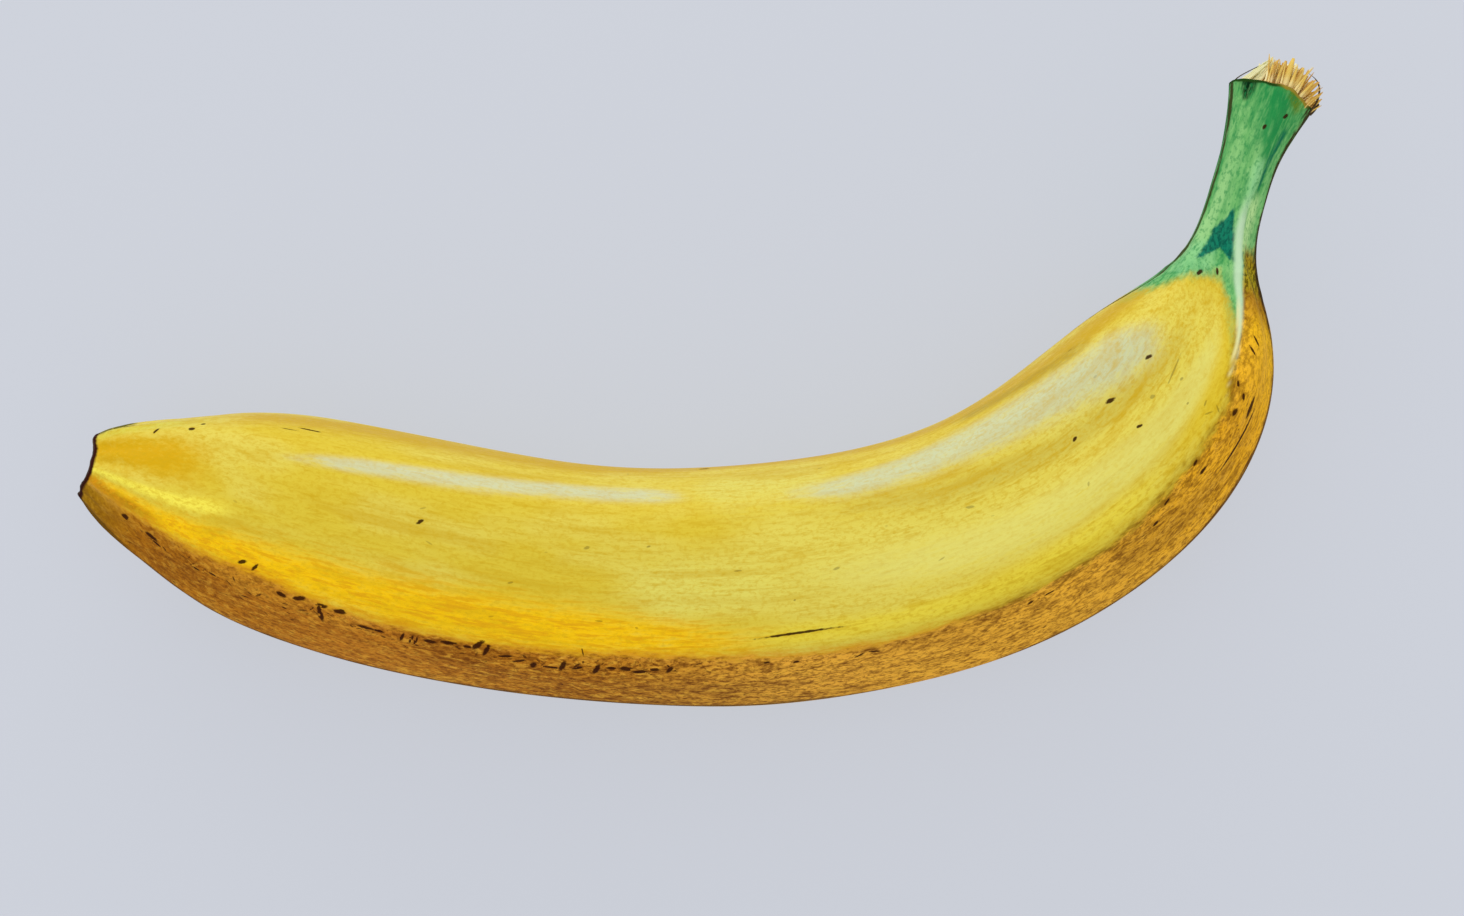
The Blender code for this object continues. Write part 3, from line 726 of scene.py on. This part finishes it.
# Height of the torn edge over the rim in metres, and how far the strands lean towards the concave side, as a
# slope, both by where they stand from the outer side (-1) to the concave side (1)
STRAND_TOP = (
    (-1, 0.0008), (-0.85, 0.0018), (-0.6, 0.0034), (-0.35, 0.0042), (-0.1, 0.0041), (0.35, 0.0041),
    (0.6, 0.0038), (1, 0.0043),
)
STRAND_LEAN = (
    (-1, -0.45), (-0.85, -0.6), (-0.6, -0.52), (-0.35, -0.26), (-0.1, 0.12), (0.15, 0.2), (0.35, -0.02),
    (0.6, -0.5), (0.8, -0.76), (1, -0.86),
)
STRAND_SPLAY = 0.20  # how far they lean up or down, as a slope at the rim
STRAND_STRAY = -0.13, 0.13  # each strand's own change of its place, in radians, and of its slopes
STRAND_CURL = -0.14, 0.14  # how far its slopes change on the way up
STRAND_SIDES = 6
STRAND_RINGS = 8
STRAND_FLAT = 0.35, 0.75  # thickness as a share of breadth
STRAND_SPIN = -0.7, 0.7  # how far, in radians, the broad side turns from facing up
STRAND_SUNK = 0.0007  # how far below the core's surface it starts, in metres
STRAND_BLUNT = 0.6  # the last ring's size, as a share of the tip's breadth
THREAD_TIP = 0.7  # breadth left at a dark thread's tip
THREAD_TONE = -1.0  # the tone that stands for a dark thread
# Dark threads round the torn edge: angle round the rim, share of the rim's size, radius in metres, and a path
# of (towards the concave side, out from the cut) in millimetres
DARK_THREADS = (
    (22, 0.96, 0.00011, ((0, -0.6), (-0.3, 0.6), (-2, 2.6), (-4.3, 4.9))),
    (160, 0.98, 0.00017, ((0, -0.8), (-0.5, 1.2), (-0.2, 3.2), (0.9, 4.4), (2.6, 4.9))),
    (168, 0.97, 0.00038, ((0.2, -0.9), (-0.2, 0), (-0.4, 0.7), (-0.6, 1.2))),
)


class Strands:
    """Collects torn strands for one mesh, with how light, how far up and how far across each point is."""

    def __init__(self, peel):
        self.rim, self.across = peel.points[-1], peel.across[-1]
        self.turns = np.arctan2(peel.up[-1], self.across)
        self.forward, self.inward, self.upward = FORWARDS[1], INWARDS[1], np.array([0.0, 0.0, 1.0])
        self.points, self.faces = [], []
        self.fields = {"tone": [], "rise": [], "across": []}

    def stand(self, turn, out):
        """Where a strand stands on the cut: the point, and how far it lies from side to side."""
        nearest = int(np.argmax(np.cos(self.turns - turn)))
        middle = self.rim.mean(axis=0)
        return middle + (self.rim[nearest] - middle) * out, self.across[nearest] * out

    def add(self, centres, levels, radius, tip, flat, spin, tone, across):
        """One strand round a row of centre points, each at its level over the rim."""
        top = float(np.interp(across, *np.array(STRAND_TOP).T))
        broad_way = self.inward * math.cos(spin) + self.upward * math.sin(spin)
        thin_way = self.upward * math.cos(spin) - self.inward * math.sin(spin)
        first = len(self.points)
        for rise, centre, level in zip(np.linspace(0, 1, len(centres)), centres, levels):
            breadth = radius * (1 - (1 - tip) * rise**2) * (STRAND_BLUNT if rise == 1 else 1.0)
            for side in range(STRAND_SIDES):
                turn = math.tau * side / STRAND_SIDES
                offset = broad_way * (math.cos(turn) * breadth) + thin_way * (math.sin(turn) * breadth * flat)
                self.points.append((centre + offset).tolist())
                for name, value in (("tone", tone), ("rise", level / top), ("across", across)):
                    self.fields[name].append(value)
        end = len(self.points)
        self.faces.extend((grid_faces(len(centres), STRAND_SIDES) + first).tolist())
        self.faces.append(list(range(first, first + STRAND_SIDES))[::-1])
        self.faces.append(list(range(end - STRAND_SIDES, end)))

    def add_random(self, rng, kind, index):
        """One strand of a kind. The golden angle spreads them evenly over the cut end."""
        count, radii, tips, torn, (inner, outer), part = kind
        turn = math.tau * part * ((index * GOLDEN_TURN + 0.5) % 1 - 0.5)
        turn += rng.uniform(*STRAND_STRAY)
        out = math.sqrt(inner**2 + (outer**2 - inner**2) * (index + 0.5) / count)
        root, across = self.stand(turn, out)
        lean = self.inward * np.interp(across, *np.array(STRAND_LEAN).T)
        lean = lean + self.upward * (math.sin(turn) * out * STRAND_SPLAY)
        lean = lean + [rng.uniform(*STRAND_STRAY) for _ in range(3)]
        curl = np.array([rng.uniform(*STRAND_CURL) for _ in range(3)])
        height = np.interp(across, *np.array(STRAND_TOP).T) * rng.uniform(*torn)
        start = min(float(core_profile_at(out) * fibre_height_at(across)), height) - STRAND_SUNK
        rises = np.linspace(0, 1, STRAND_RINGS)[:, None]
        climbed = (height - start) * rises
        centres = root + self.forward * (start + climbed) + (lean + curl * rises) * climbed
        shape = [rng.uniform(*limits) for limits in (radii, tips, STRAND_FLAT, STRAND_SPIN)]
        self.add(centres, start + climbed[:, 0], *shape, rng.random(), across)

    def add_thread(self, angle, out, radius, path):
        """One dark thread along its own path."""
        root, across = self.stand(math.radians(angle), out)
        places = np.linspace(0, 1, 2 * STRAND_RINGS)
        even = np.linspace(0, 1, len(path))
        sideways, levels = (natural_spline(tuple(zip(even, way)))(places) for way in np.array(path).T / MM)
        centres = root + self.inward * sideways[:, None] + self.forward * levels[:, None]
        self.add(centres, levels, radius, THREAD_TIP, 1.0, 0.0, THREAD_TONE, across)


def make_strands(peel):
    """All the torn strands as one mesh with its fields."""
    rng = random.Random(SEED)
    strands = Strands(peel)
    for kind in STRAND_KINDS:
        for index in range(kind[0]):
            strands.add_random(rng, kind, index)
    for thread in DARK_THREADS:
        strands.add_thread(*thread)
    mesh = make_mesh("torn_fibres", strands.points, strands.faces, [0] * len(strands.faces))
    for name, values in strands.fields.items():
        set_field(mesh, name, values)
    return mesh


# Noise patterns that follow the peel: size along and around in millimetres, detail, roughness and distortion
PATTERNS = {
    "streak_long": (30, 2.6, 3, 0.6),
    "streak_fine": (5, 0.6, 3, 0.65),
    "scribble": (2.8, 1, 3, 0.7, 0.2),
    "grain": (0.8, 0.5, 2, 0.6),
    "cloud": (26, 8, 2, 0.5),
    "brown_edge": (3, 0.9, 3, 0.7),
    "curls": (3.4, 2, 3, 0.6, 1),
    "blotch": (1.8, 1.1, 2, 0.55, 0.8),
    "mottle": (6, 2.4, 3, 0.6),
    "patches": (34, 9, 2, 0.5),
    "green_edge": (3.2, 1.3, 3, 0.65),
    "rim_wander": (1.4, 1.4, 2, 0.6),
    "crumbs": (0.8, 0.8, 4, 0.7),
}
WASH_EDGE = 0.08, 1.0  # a wash's strength where its colour starts and where it is full
COLOUR_A, COLOUR_B, COLOUR_OUT = 6, 7, 2  # the mix node's sockets for colours


def linear(colour):
    """A linear colour from one given as it looks on a screen, 0 to 255."""
    values = np.array(colour) / 255
    values = np.where(values <= 0.04045, values / 12.92, ((values + 0.055) / 1.055) ** 2.4)
    return (*values.tolist(), 1.0)


class Shader:
    """Makes a material's nodes, one short call each. A value may be the name of a pattern or a field."""

    def __init__(self, name, surface):
        self.material = bpy.data.materials.new(name)
        self.material.use_nodes = True
        self.tree = self.material.node_tree
        self.inputs = self.tree.nodes["Principled BSDF"].inputs
        self.values = {}
        for key, value in surface.items():
            self.inputs[key].default_value = value

    def plug(self, socket, value):
        if isinstance(value, str):
            value = self.value(value)
        if isinstance(value, bpy.types.NodeSocket):
            self.tree.links.new(value, socket)
        else:
            socket.default_value = value

    def node(self, kind, sockets, output=0, **settings):
        """A new node's output."""
        made = self.tree.nodes.new(kind)
        for key, value in settings.items():
            setattr(made, key, value)
        for key, value in sockets.items():
            self.plug(made.inputs[key], value)
        return made.outputs[output]

    def field(self, name, output="Fac"):
        return self.node("ShaderNodeAttribute", {}, output, attribute_name=name)

    def noise(self, *settings):
        """Noise at a vector, with its scale, detail, roughness and distortion."""
        names = "Vector", "Scale", "Detail", "Roughness", "Distortion"
        return self.node("ShaderNodeTexNoise", dict(zip(names, settings)))

    def value(self, name):
        """A pattern, or else a field of the mesh, by its name. Each is made once."""
        if name not in self.values:
            self.values[name] = self.pattern(*PATTERNS[name]) if name in PATTERNS else self.field(name)
        return self.values[name]

    def pattern(self, along, around, *settings):
        sockets = {0: self.field("straight", "Vector"), 1: (1 / along, 1 / around, 1 / around)}
        places = self.node("ShaderNodeVectorMath", sockets, operation="MULTIPLY")
        return self.noise(places, 1.0, *settings)

    def math(self, operation, a, b=0.0):
        return self.node("ShaderNodeMath", {0: a, 1: b}, operation=operation)

    def times(self, a, b):
        return self.math("MULTIPLY", a, b)

    def plus(self, a, b):
        return self.math("ADD", a, b)

    def sway(self, name, size):
        """A pattern about nothing, scaled to a size, to move an edge to and fro."""
        return self.times(self.math("SUBTRACT", name, 0.5), size)

    def sum(self, weights, start=0.0):
        """A sum of patterns, each times its weight."""
        for name, weight in weights:
            start = self.plus(start, self.times(name, weight))
        return start

    def ramp(self, value, low, high, to_low=0.0, to_high=1.0):
        sockets = {"Value": value, "From Min": low, "From Max": high, "To Min": to_low, "To Max": to_high}
        return self.node("ShaderNodeMapRange", sockets, interpolation_type="SMOOTHSTEP")

    def mix(self, amount, a, b):
        """Mixes two colours, each a socket or a colour on a screen."""
        a, b = (linear(colour) if isinstance(colour, tuple) else colour for colour in (a, b))
        sockets = {0: amount, COLOUR_A: a, COLOUR_B: b}
        return self.node("ShaderNodeMix", sockets, COLOUR_OUT, data_type="RGBA")

    def strokes(self, colour, strokes, strength=1.0):
        """Lays strokes over a colour, each where its pattern or field passes from one value to another."""
        for name, low, high, amount, tint in strokes:
            covered = self.times(self.ramp(name, low, high, 0.0, amount), strength)
            colour = self.mix(covered, colour, tint)
        return colour

    def washes(self, colour, washes, ragged, edge=WASH_EDGE):
        """Lays washes over a colour, each with a ragged, soft edge."""
        for name, (tint, amount, _, _) in washes.items():
            covered = self.ramp(self.times(name, ragged), *edge, 0.0, amount)
            colour = self.mix(covered, colour, tint)
        return colour

    def finish(self, colour, relief=None, depth=0.0, strength=1.0):
        """Sets the surface's colour and its fine relief, in metres, and gives the material."""
        self.plug(self.inputs["Base Color"], colour)
        if relief is not None:
            sockets = {"Height": relief, "Distance": depth, "Strength": strength}
            self.plug(self.inputs["Normal"], self.node("ShaderNodeBump", sockets))
        return self.material


# Colours of the peel, as they look on a screen
YELLOW, YELLOW_LIGHT, YELLOW_DEEP = (218, 193, 56), (222, 204, 84), (202, 164, 18)
GOLD_DEEP = (228, 160, 8)
BROWN_DARK, BROWN_LIGHT = (96, 42, 0), (240, 180, 58)
BROWN_RIM, SEAM_RIM, SEAM_DARK = (216, 144, 4), (190, 152, 14), (112, 70, 4)
GREEN, GREEN_LIGHT, GREEN_DEEP = (100, 174, 96), (148, 206, 128), (36, 134, 70)
OLIVE, OLIVE_DARK = (176, 158, 26), (84, 80, 2)
# the painted shade in the neck's hollow, blue-green
HOLLOW_SHADE, HOLLOW_SHADE_DEEP = (4, 118, 92), (0, 84, 70)
MARK = (50, 14, 0)
SCAR_RIM, CUT_RIM, CUT_RIM_OLIVE = (52, 16, 6), (30, 66, 18), (150, 130, 40)
# The brown face's colour: share of LENGTH, then the colour there
BROWN_ALONG = (
    (0, (164, 122, 8)), (0.05, (180, 112, 10)), (0.2, (200, 126, 30)), (0.36, (190, 122, 26)),
    (0.49, (244, 177, 60)), (0.68, (246, 181, 50)), (0.79, (252, 184, 24)), (0.845, (252, 196, 22)),
    (0.862, (150, 100, 0)),
)

# Strokes of colour: the pattern, its values where they start and are full, how much colour, and the colour
CLOUDS = (("cloud", 0.40, 0.62, 0.90, YELLOW_LIGHT),)
YELLOW_STROKES = (
    ("streak_long", 0.48, 0.74, 0.55, YELLOW_DEEP), ("streak_fine", 0.48, 0.72, 0.5, YELLOW_DEEP),
    ("scribble", 0.48, 0.7, 0.3, YELLOW_DEEP), ("grain", 0.46, 0.68, 0.38, YELLOW_DEEP),
)
GOLD_STROKES = (("streak_fine", 0.48, 0.62, 0.60, GOLD_DEEP),)
BROWN_STROKES = (
    ("patches", 0.5, 0.3, 0.5, BROWN_LIGHT), ("patches", 0.5, 0.7, 0.35, BROWN_DARK),
    ("mottle", 0.46, 0.7, 0.3, BROWN_DARK), ("streak_fine", 0.5, 0.75, 0.35, BROWN_LIGHT),
    ("blotch", 0.5, 0.34, 0.5, BROWN_LIGHT), ("blotch", 0.52, 0.68, 0.5, BROWN_DARK),
    ("scribble", 0.5, 0.7, 0.4, BROWN_DARK), ("wrinkle", 0.032, 0.004, 0.35, BROWN_DARK),
    ("grain", 0.48, 0.64, 0.5, BROWN_DARK),
)
GREEN_STREAKS = (
    ("streak_fine", 0.42, 0.7, 0.75, GREEN_DEEP), ("streak_long", 0.44, 0.66, 0.6, GREEN_LIGHT),
    ("green_edge", 0.5, 0.35, 0.45, GREEN_LIGHT),
)
GREEN_GRAIN = (
    ("grain", 0.48, 0.68, 0.6, GREEN_DEEP), ("green_edge", 0.54, 0.7, 0.5, GREEN_DEEP),
    ("streak_fine", 0.5, 0.34, 0.15, GREEN_LIGHT),
)
OLIVE_GRAIN = (("grain", 0.44, 0.60, 1.0, OLIVE_DARK),)
# grain of the hollow's painted shade
HOLLOW_SHADE_GRAIN = (("grain", 0.40, 0.62, 1.0, HOLLOW_SHADE_DEEP),)

# Ramps from one value to another. Where there are four numbers, the last two are what comes out at each.
RAGGED_SUM = (("streak_fine", 1.3), ("streak_long", 0.9), ("scribble", 0.9)), -0.55
LINE_EDGE = 0.15, 0.75  # as WASH_EDGE, for the dark lines
STROKES_ALONG = 0.45, 0.75, 1.0, 1.3  # the yellow's strokes are stronger towards the neck
CALM_EDGE = 0.1, 0.7, 1.0
SHINE_CALM, BAND_CALM = 0.6, 0.4  # and weaker in the painted highlights and the painted light band
BROWN_SWAY = 3.4  # millimetres, as all the edges of the brown face
BROWN_END = 24.0, 31.0, 1.0, 0.0
BROWN_RIM_EDGE = -1.6, 0.2, 0.0, 0.75
BROWN_START = -0.5, 0.9
MOTTLE_ALONG = (0.02, 0.09, 0.5, 1.0), (0.20, 0.34, 0.8, 1.2), (0.46, 0.58, 1.0, 0.85), (0.74, 0.84, 1.0, 0.6)
SEAM_ALONG = 0.56, 0.64
SEAM_START, SEAM_END = (-1.4, 0.2), (2.6, 0.6)
SEAM_SCRIBBLE = 0.42, 0.60, 0.0, 0.55
GREEN_SWAY = 4.0
GREEN_START = -1.8, 1.6
OLIVE_START, OLIVE_END, OLIVE_EDGE = (0.858, 0.876), (0.900, 0.880), (0.1, 0.6, 0.0, 0.9)
# the edge of the painted shade in the neck's hollow
HOLLOW_SWAY = 0.45
HOLLOW_EDGE = -0.25, 0.35, 0.0, 0.96
RIM_OLIVE_EDGE = 0.1, 0.5
SCAR_RIM_EDGE, SCAR_RIM_SWAY = (0.32, -0.12), -0.8
CUT_RIM_EDGE, CUT_RIM_SWAY = (0.20, -0.10), -0.7
MARK_EDGE = 1.00, 0.55
MARK_SWAY, MARK_AMOUNT = 1.0, 0.95

# How dull the peel is: where it is waxy, where it is dark and on the brown face
WAX_SUM = ("streak_fine", 1.0), ("grain", 1.0)
WAXY = 0.7, 1.3, 0.36, 0.52
DARK_DULL = 0.45, 0.05, 0.36, 0.95
BROWN_DULL = 0.0, 1.5, 0.36, 0.90
FINE_RELIEF = ("streak_fine", 0.6), ("grain", 0.4)
FINE_DEPTH, FINE_STRENGTH = 0.00012, 0.7
PEEL_SURFACE = {"Roughness": 0.42, "Specular IOR Level": 0.08}


def peel_material():
    """The peel: yellow with its washes, among them painted highlights, painted light and painted shade, the
    brown face, the green neck, lines, rims and marks.
    """
    shader = Shader("peel", PEEL_SURFACE)
    ragged = shader.sum(*RAGGED_SUM)
    strength = shader.ramp("share", *STROKES_ALONG)
    # the yellow's strokes stay calmer in the painted highlights and the painted light band
    painted_highlight = shader.math("MAXIMUM", "painted_highlight", "wide_painted_highlight")
    for wash, calm in ((painted_highlight, SHINE_CALM), ("painted_light_band", BAND_CALM)):
        strength = shader.times(strength, shader.ramp(wash, *CALM_EDGE, calm))
    colour = shader.strokes(YELLOW, CLOUDS)
    colour = shader.washes(colour, YELLOW_WASHES, ragged)
    colour = shader.strokes(colour, YELLOW_STROKES, strength)
    colour = shader.strokes(colour, GOLD_STROKES, "heel_gold")
    colour = brown_face(shader, colour)
    colour = green_neck(shader, colour, ragged)
    # painted highlights along the ridges' crests
    colour = shader.washes(colour, PAINTED_HIGHLIGHT_LINES, 1.0)
    colour = shader.washes(colour, DARK_LINES, shader.times(ragged, ragged), LINE_EDGE)
    colour = dark_marks(shader, dark_rims(shader, colour))
    brightness = shader.node("ShaderNodeRGBToBW", {0: colour})
    dull = shader.ramp(shader.sum(WAX_SUM), *WAXY)
    for value, change in ((brightness, DARK_DULL), ("past_brown", BROWN_DULL)):
        dull = shader.math("MAXIMUM", dull, shader.ramp(value, *change))
    shader.plug(shader.inputs["Roughness"], dull)
    return shader.finish(colour, shader.sum(FINE_RELIEF), FINE_DEPTH, FINE_STRENGTH)


def brown_face(shader, colour):
    """The overripe face past the main ridge, mottled and wrinkled, with an orange edge."""
    edge = shader.plus("past_brown", shader.sway("brown_edge", BROWN_SWAY))
    brown = shader.node("ShaderNodeValToRGB", {0: "share"})
    elements = brown.node.color_ramp.elements
    while len(elements) < len(BROWN_ALONG):
        elements.new(0.5)
    for element, (place, tint) in zip(elements, BROWN_ALONG):
        element.position, element.color = place, linear(tint)
    shader.values["wrinkle"] = shader.math("ABSOLUTE", shader.sway("curls", 1.0))
    contrast = 1.0
    for change in MOTTLE_ALONG:
        contrast = shader.times(contrast, shader.ramp("share", *change))
    brown = shader.strokes(brown, BROWN_STROKES, contrast)
    far = shader.ramp("share", *SEAM_ALONG)
    fade = shader.ramp(edge, *BROWN_END)
    for start, tint in ((BROWN_RIM_EDGE, shader.mix(far, BROWN_RIM, SEAM_RIM)), (BROWN_START, brown)):
        colour = shader.mix(shader.times(shader.ramp(edge, *start), fade), colour, tint)
    seam = shader.times(shader.ramp(edge, *SEAM_START), shader.ramp(edge, *SEAM_END))
    seam = shader.times(seam, shader.ramp("scribble", *SEAM_SCRIBBLE))
    return shader.mix(shader.times(seam, far), colour, SEAM_DARK)


def green_neck(shader, colour, ragged):
    """The green neck and stem, with its deep patches, its painted shade on the stem and in the blue-green
    hollow.
    """
    sway = shader.sway("green_edge", GREEN_SWAY)
    green = shader.washes(shader.strokes(GREEN, GREEN_STREAKS), GREEN_WASHES, ragged)
    green = shader.strokes(green, GREEN_GRAIN)
    colour = shader.mix(shader.ramp(shader.plus("green", sway), *GREEN_START), colour, green)
    share = shader.plus("share", shader.times(sway, 1 / (LENGTH * MM)))
    olive = shader.times(shader.ramp(share, *OLIVE_START), shader.ramp(share, *OLIVE_END))
    olive = shader.times(olive, shader.ramp("past_brown", *OLIVE_EDGE))
    colour = shader.mix(olive, colour, shader.strokes(OLIVE, OLIVE_GRAIN))
    # painted shade in the neck's hollow, blue-green over the green
    hollow = shader.plus("teal", shader.times(sway, HOLLOW_SWAY))
    return shader.mix(shader.ramp(hollow, *HOLLOW_EDGE), colour, shader.strokes(HOLLOW_SHADE, HOLLOW_SHADE_GRAIN))


def dark_rims(shader, colour):
    """The dark edges of the peel at the blossom scar and at the cut end."""
    from_scar = shader.times("share", LENGTH * MM)
    from_cut = shader.math("SUBTRACT", LENGTH * MM, from_scar)
    cut_rim = shader.mix(shader.ramp("rim_olive", *RIM_OLIVE_EDGE), CUT_RIM, CUT_RIM_OLIVE)
    for distance, sway, edge, tint in (
        (from_scar, SCAR_RIM_SWAY, SCAR_RIM_EDGE, SCAR_RIM), (from_cut, CUT_RIM_SWAY, CUT_RIM_EDGE, cut_rim),
    ):
        distance = shader.plus(distance, shader.times("rim_wander", sway))
        colour = shader.mix(shader.ramp(distance, *edge), colour, tint)
    return colour


def dark_marks(shader, colour):
    """The small dark marks and flecks, with slightly ragged edges."""
    spot = shader.node("ShaderNodeSeparateXYZ", {0: shader.field("spot", "Vector")})
    along, across, darkness = spot.node.outputs
    flat = shader.node("ShaderNodeCombineXYZ", {0: along, 1: across})
    away = shader.node("ShaderNodeVectorMath", {0: flat}, "Value", operation="LENGTH")
    away = shader.plus(away, shader.sway("grain", MARK_SWAY))
    dark = shader.times(shader.ramp(away, *MARK_EDGE), darkness)
    return shader.mix(shader.times(dark, MARK_AMOUNT), colour, MARK)


# The two ends, as the colours of their crumbs: dark, light and in the middle
SCAR_COLOURS = (22, 12, 6), (92, 58, 30), (138, 104, 68)
CORE_COLOURS = (170, 118, 48), (230, 196, 112), (220, 184, 108)
DRY_SURFACE = {"Roughness": 0.85}
CRUMB_EDGE = 0.35, 0.70
CRUMB_DEPTH = 0.0003
MIDDLE_SUM = ("cap_size", 1.0), ("crumbs", 0.8)
MIDDLE_EDGE = 0.95, 0.55, 0.0, 0.8


def crumbly_material(name, dark, light, middle):
    """A dry, crumbly surface between two colours, with a third one in the middle."""
    shader = Shader(name, DRY_SURFACE)
    colour = shader.mix(shader.ramp("crumbs", *CRUMB_EDGE), dark, light)
    colour = shader.mix(shader.ramp(shader.sum(MIDDLE_SUM), *MIDDLE_EDGE), colour, middle)
    return shader.finish(colour, "crumbs", CRUMB_DEPTH)


# Colours of the torn fibres: cream, gold and tan, paler on the concave side and rusty at the other's tips
CREAM, TAN = (250, 240, 184), (204, 158, 76)
FIBRE_TINTS = (
    ("tone", 0.15, 0.35, 1, (228, 192, 92)), ("tone", 0.68, 1, 1, CREAM), ("rise", 0.45, 0.05, 0.5, CREAM),
    ("across", -0.4, -0.8, 0.7, (226, 180, 72)), ("across", 0.3, 0.6, 0.85, (226, 226, 176)),
)
RUST_TINT = (("rise", 0.62, 0.88, 0.35, (166, 100, 52)),)
RUST_SIDE = -0.20, -0.45
THREAD_TINT = (("tone", -0.4, -0.6, 1.0, (70, 54, 30)),)
FIBRE_SURFACE = {"Roughness": 0.8, "Specular IOR Level": 0.2}


def fibre_material():
    """Dry torn fibres."""
    shader = Shader("fibres", FIBRE_SURFACE)
    colour = shader.strokes(TAN, FIBRE_TINTS)
    colour = shader.strokes(colour, RUST_TINT, shader.ramp("across", *RUST_SIDE))
    return shader.finish(shader.strokes(colour, THREAD_TINT))


def place(name, data):
    """A new object in the scene."""
    made = bpy.data.objects.new(name, data)
    bpy.context.scene.collection.objects.link(made)
    return made


def add_piece(name, mesh, materials):
    """Puts a mesh in the scene as a piece of the fruit, riding with it."""
    for material in materials:
        mesh.materials.append(material)
    piece = place(name, mesh)
    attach(piece, BODY)
    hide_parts(NODE)


# The stage, in metres. The floor is lit from within, so the shadow stays soft.
FLOOR_SIZE = 6.0
FLOOR_COLOUR, FLOOR_CLOUD = (104, 106, 110), (99, 101, 108)
FLOOR_NOISE = 1.5, 2.0, 0.5, 0.0
FLOOR_CLOUD_EDGE = 0.3, 0.7, 0.0, 0.05
FLOOR_SURFACE = {
    "Roughness": 0.9, "Specular IOR Level": 0, "Emission Color": (0.48, 0.501, 0.554, 1),
    "Emission Strength": 1,
}
WORLD_COLOUR = (0.97, 0.98, 1.0, 1.0)
WORLD_STRENGTH = 0.91
LAMP_COLOUR = (1.0, 0.98, 0.96)
LAMP_PLACE = (-0.20, 0.95, 0.40)
LAMP_SIZE = (1.20, 0.34)
LAMP_POWER = 4.5
LAMP_TARGET = (0.0, 0.0, 0.01)
# The camera looks straight down on the middle of the picture.
CAMERA_PLACE = (0.00515, -0.01146, 0.6436)
CAMERA_LENS, CAMERA_SENSOR = 100, 36
CAMERA_CLIP = 0.01, 20


def make_stage():
    """The plain pale floor."""
    shader = Shader("floor", FLOOR_SURFACE)
    places = shader.node("ShaderNodeTexCoord", {}, "Object")
    cloud = shader.ramp(shader.noise(places, *FLOOR_NOISE), *FLOOR_CLOUD_EDGE)
    half = FLOOR_SIZE / 2
    corners = [(-half, -half, 0), (half, -half, 0), (half, half, 0), (-half, half, 0)]
    mesh = make_mesh("floor", corners, [(0, 1, 2, 3)], [0])
    mesh.materials.append(shader.finish(shader.mix(cloud, FLOOR_COLOUR, FLOOR_CLOUD)))
    floor = place("floor", mesh)


def make_lights():
    """An even pale world, and one large soft lamp behind the fruit."""
    world = bpy.data.worlds.new("studio")
    bpy.context.scene.world = world
    world.use_nodes = True
    background = world.node_tree.nodes["Background"]
    background.inputs["Color"].default_value = WORLD_COLOUR
    background.inputs["Strength"].default_value = WORLD_STRENGTH
    light = bpy.data.lights.new("softbox", "AREA")
    light.shape = "RECTANGLE"
    light.size, light.size_y = LAMP_SIZE
    light.energy = LAMP_POWER
    light.color = LAMP_COLOUR
    lamp = place("softbox", light)
    lamp.location = LAMP_PLACE
    aim = Vector(LAMP_TARGET) - Vector(LAMP_PLACE)
    lamp.rotation_euler = aim.to_track_quat("-Z", "Y").to_euler()
    lamp.visible_camera = False


def make_camera():
    """The camera, which looks straight down."""
    lens = bpy.data.cameras.new("camera")
    lens.lens, lens.sensor_width = CAMERA_LENS, CAMERA_SENSOR
    lens.clip_start, lens.clip_end = CAMERA_CLIP
    camera = place("camera", lens)
    camera.location = CAMERA_PLACE
    bpy.context.scene.camera = camera


def main():
    """The fruit's two pieces, then the stage, the lights and the camera."""
    scene = bpy.context.scene
    scene.view_settings.view_transform = "Standard"
    scene.view_settings.look = "None"
    peel, skin = make_peel()
    ends = [crumbly_material("scar", *SCAR_COLOURS), crumbly_material("core", *CORE_COLOURS)]
    add_piece("peel_surface", skin, [peel_material(), *ends])
    add_piece("torn_fibres", make_strands(peel), [fibre_material()])
    make_stage()
    make_lights()
    make_camera()


main()
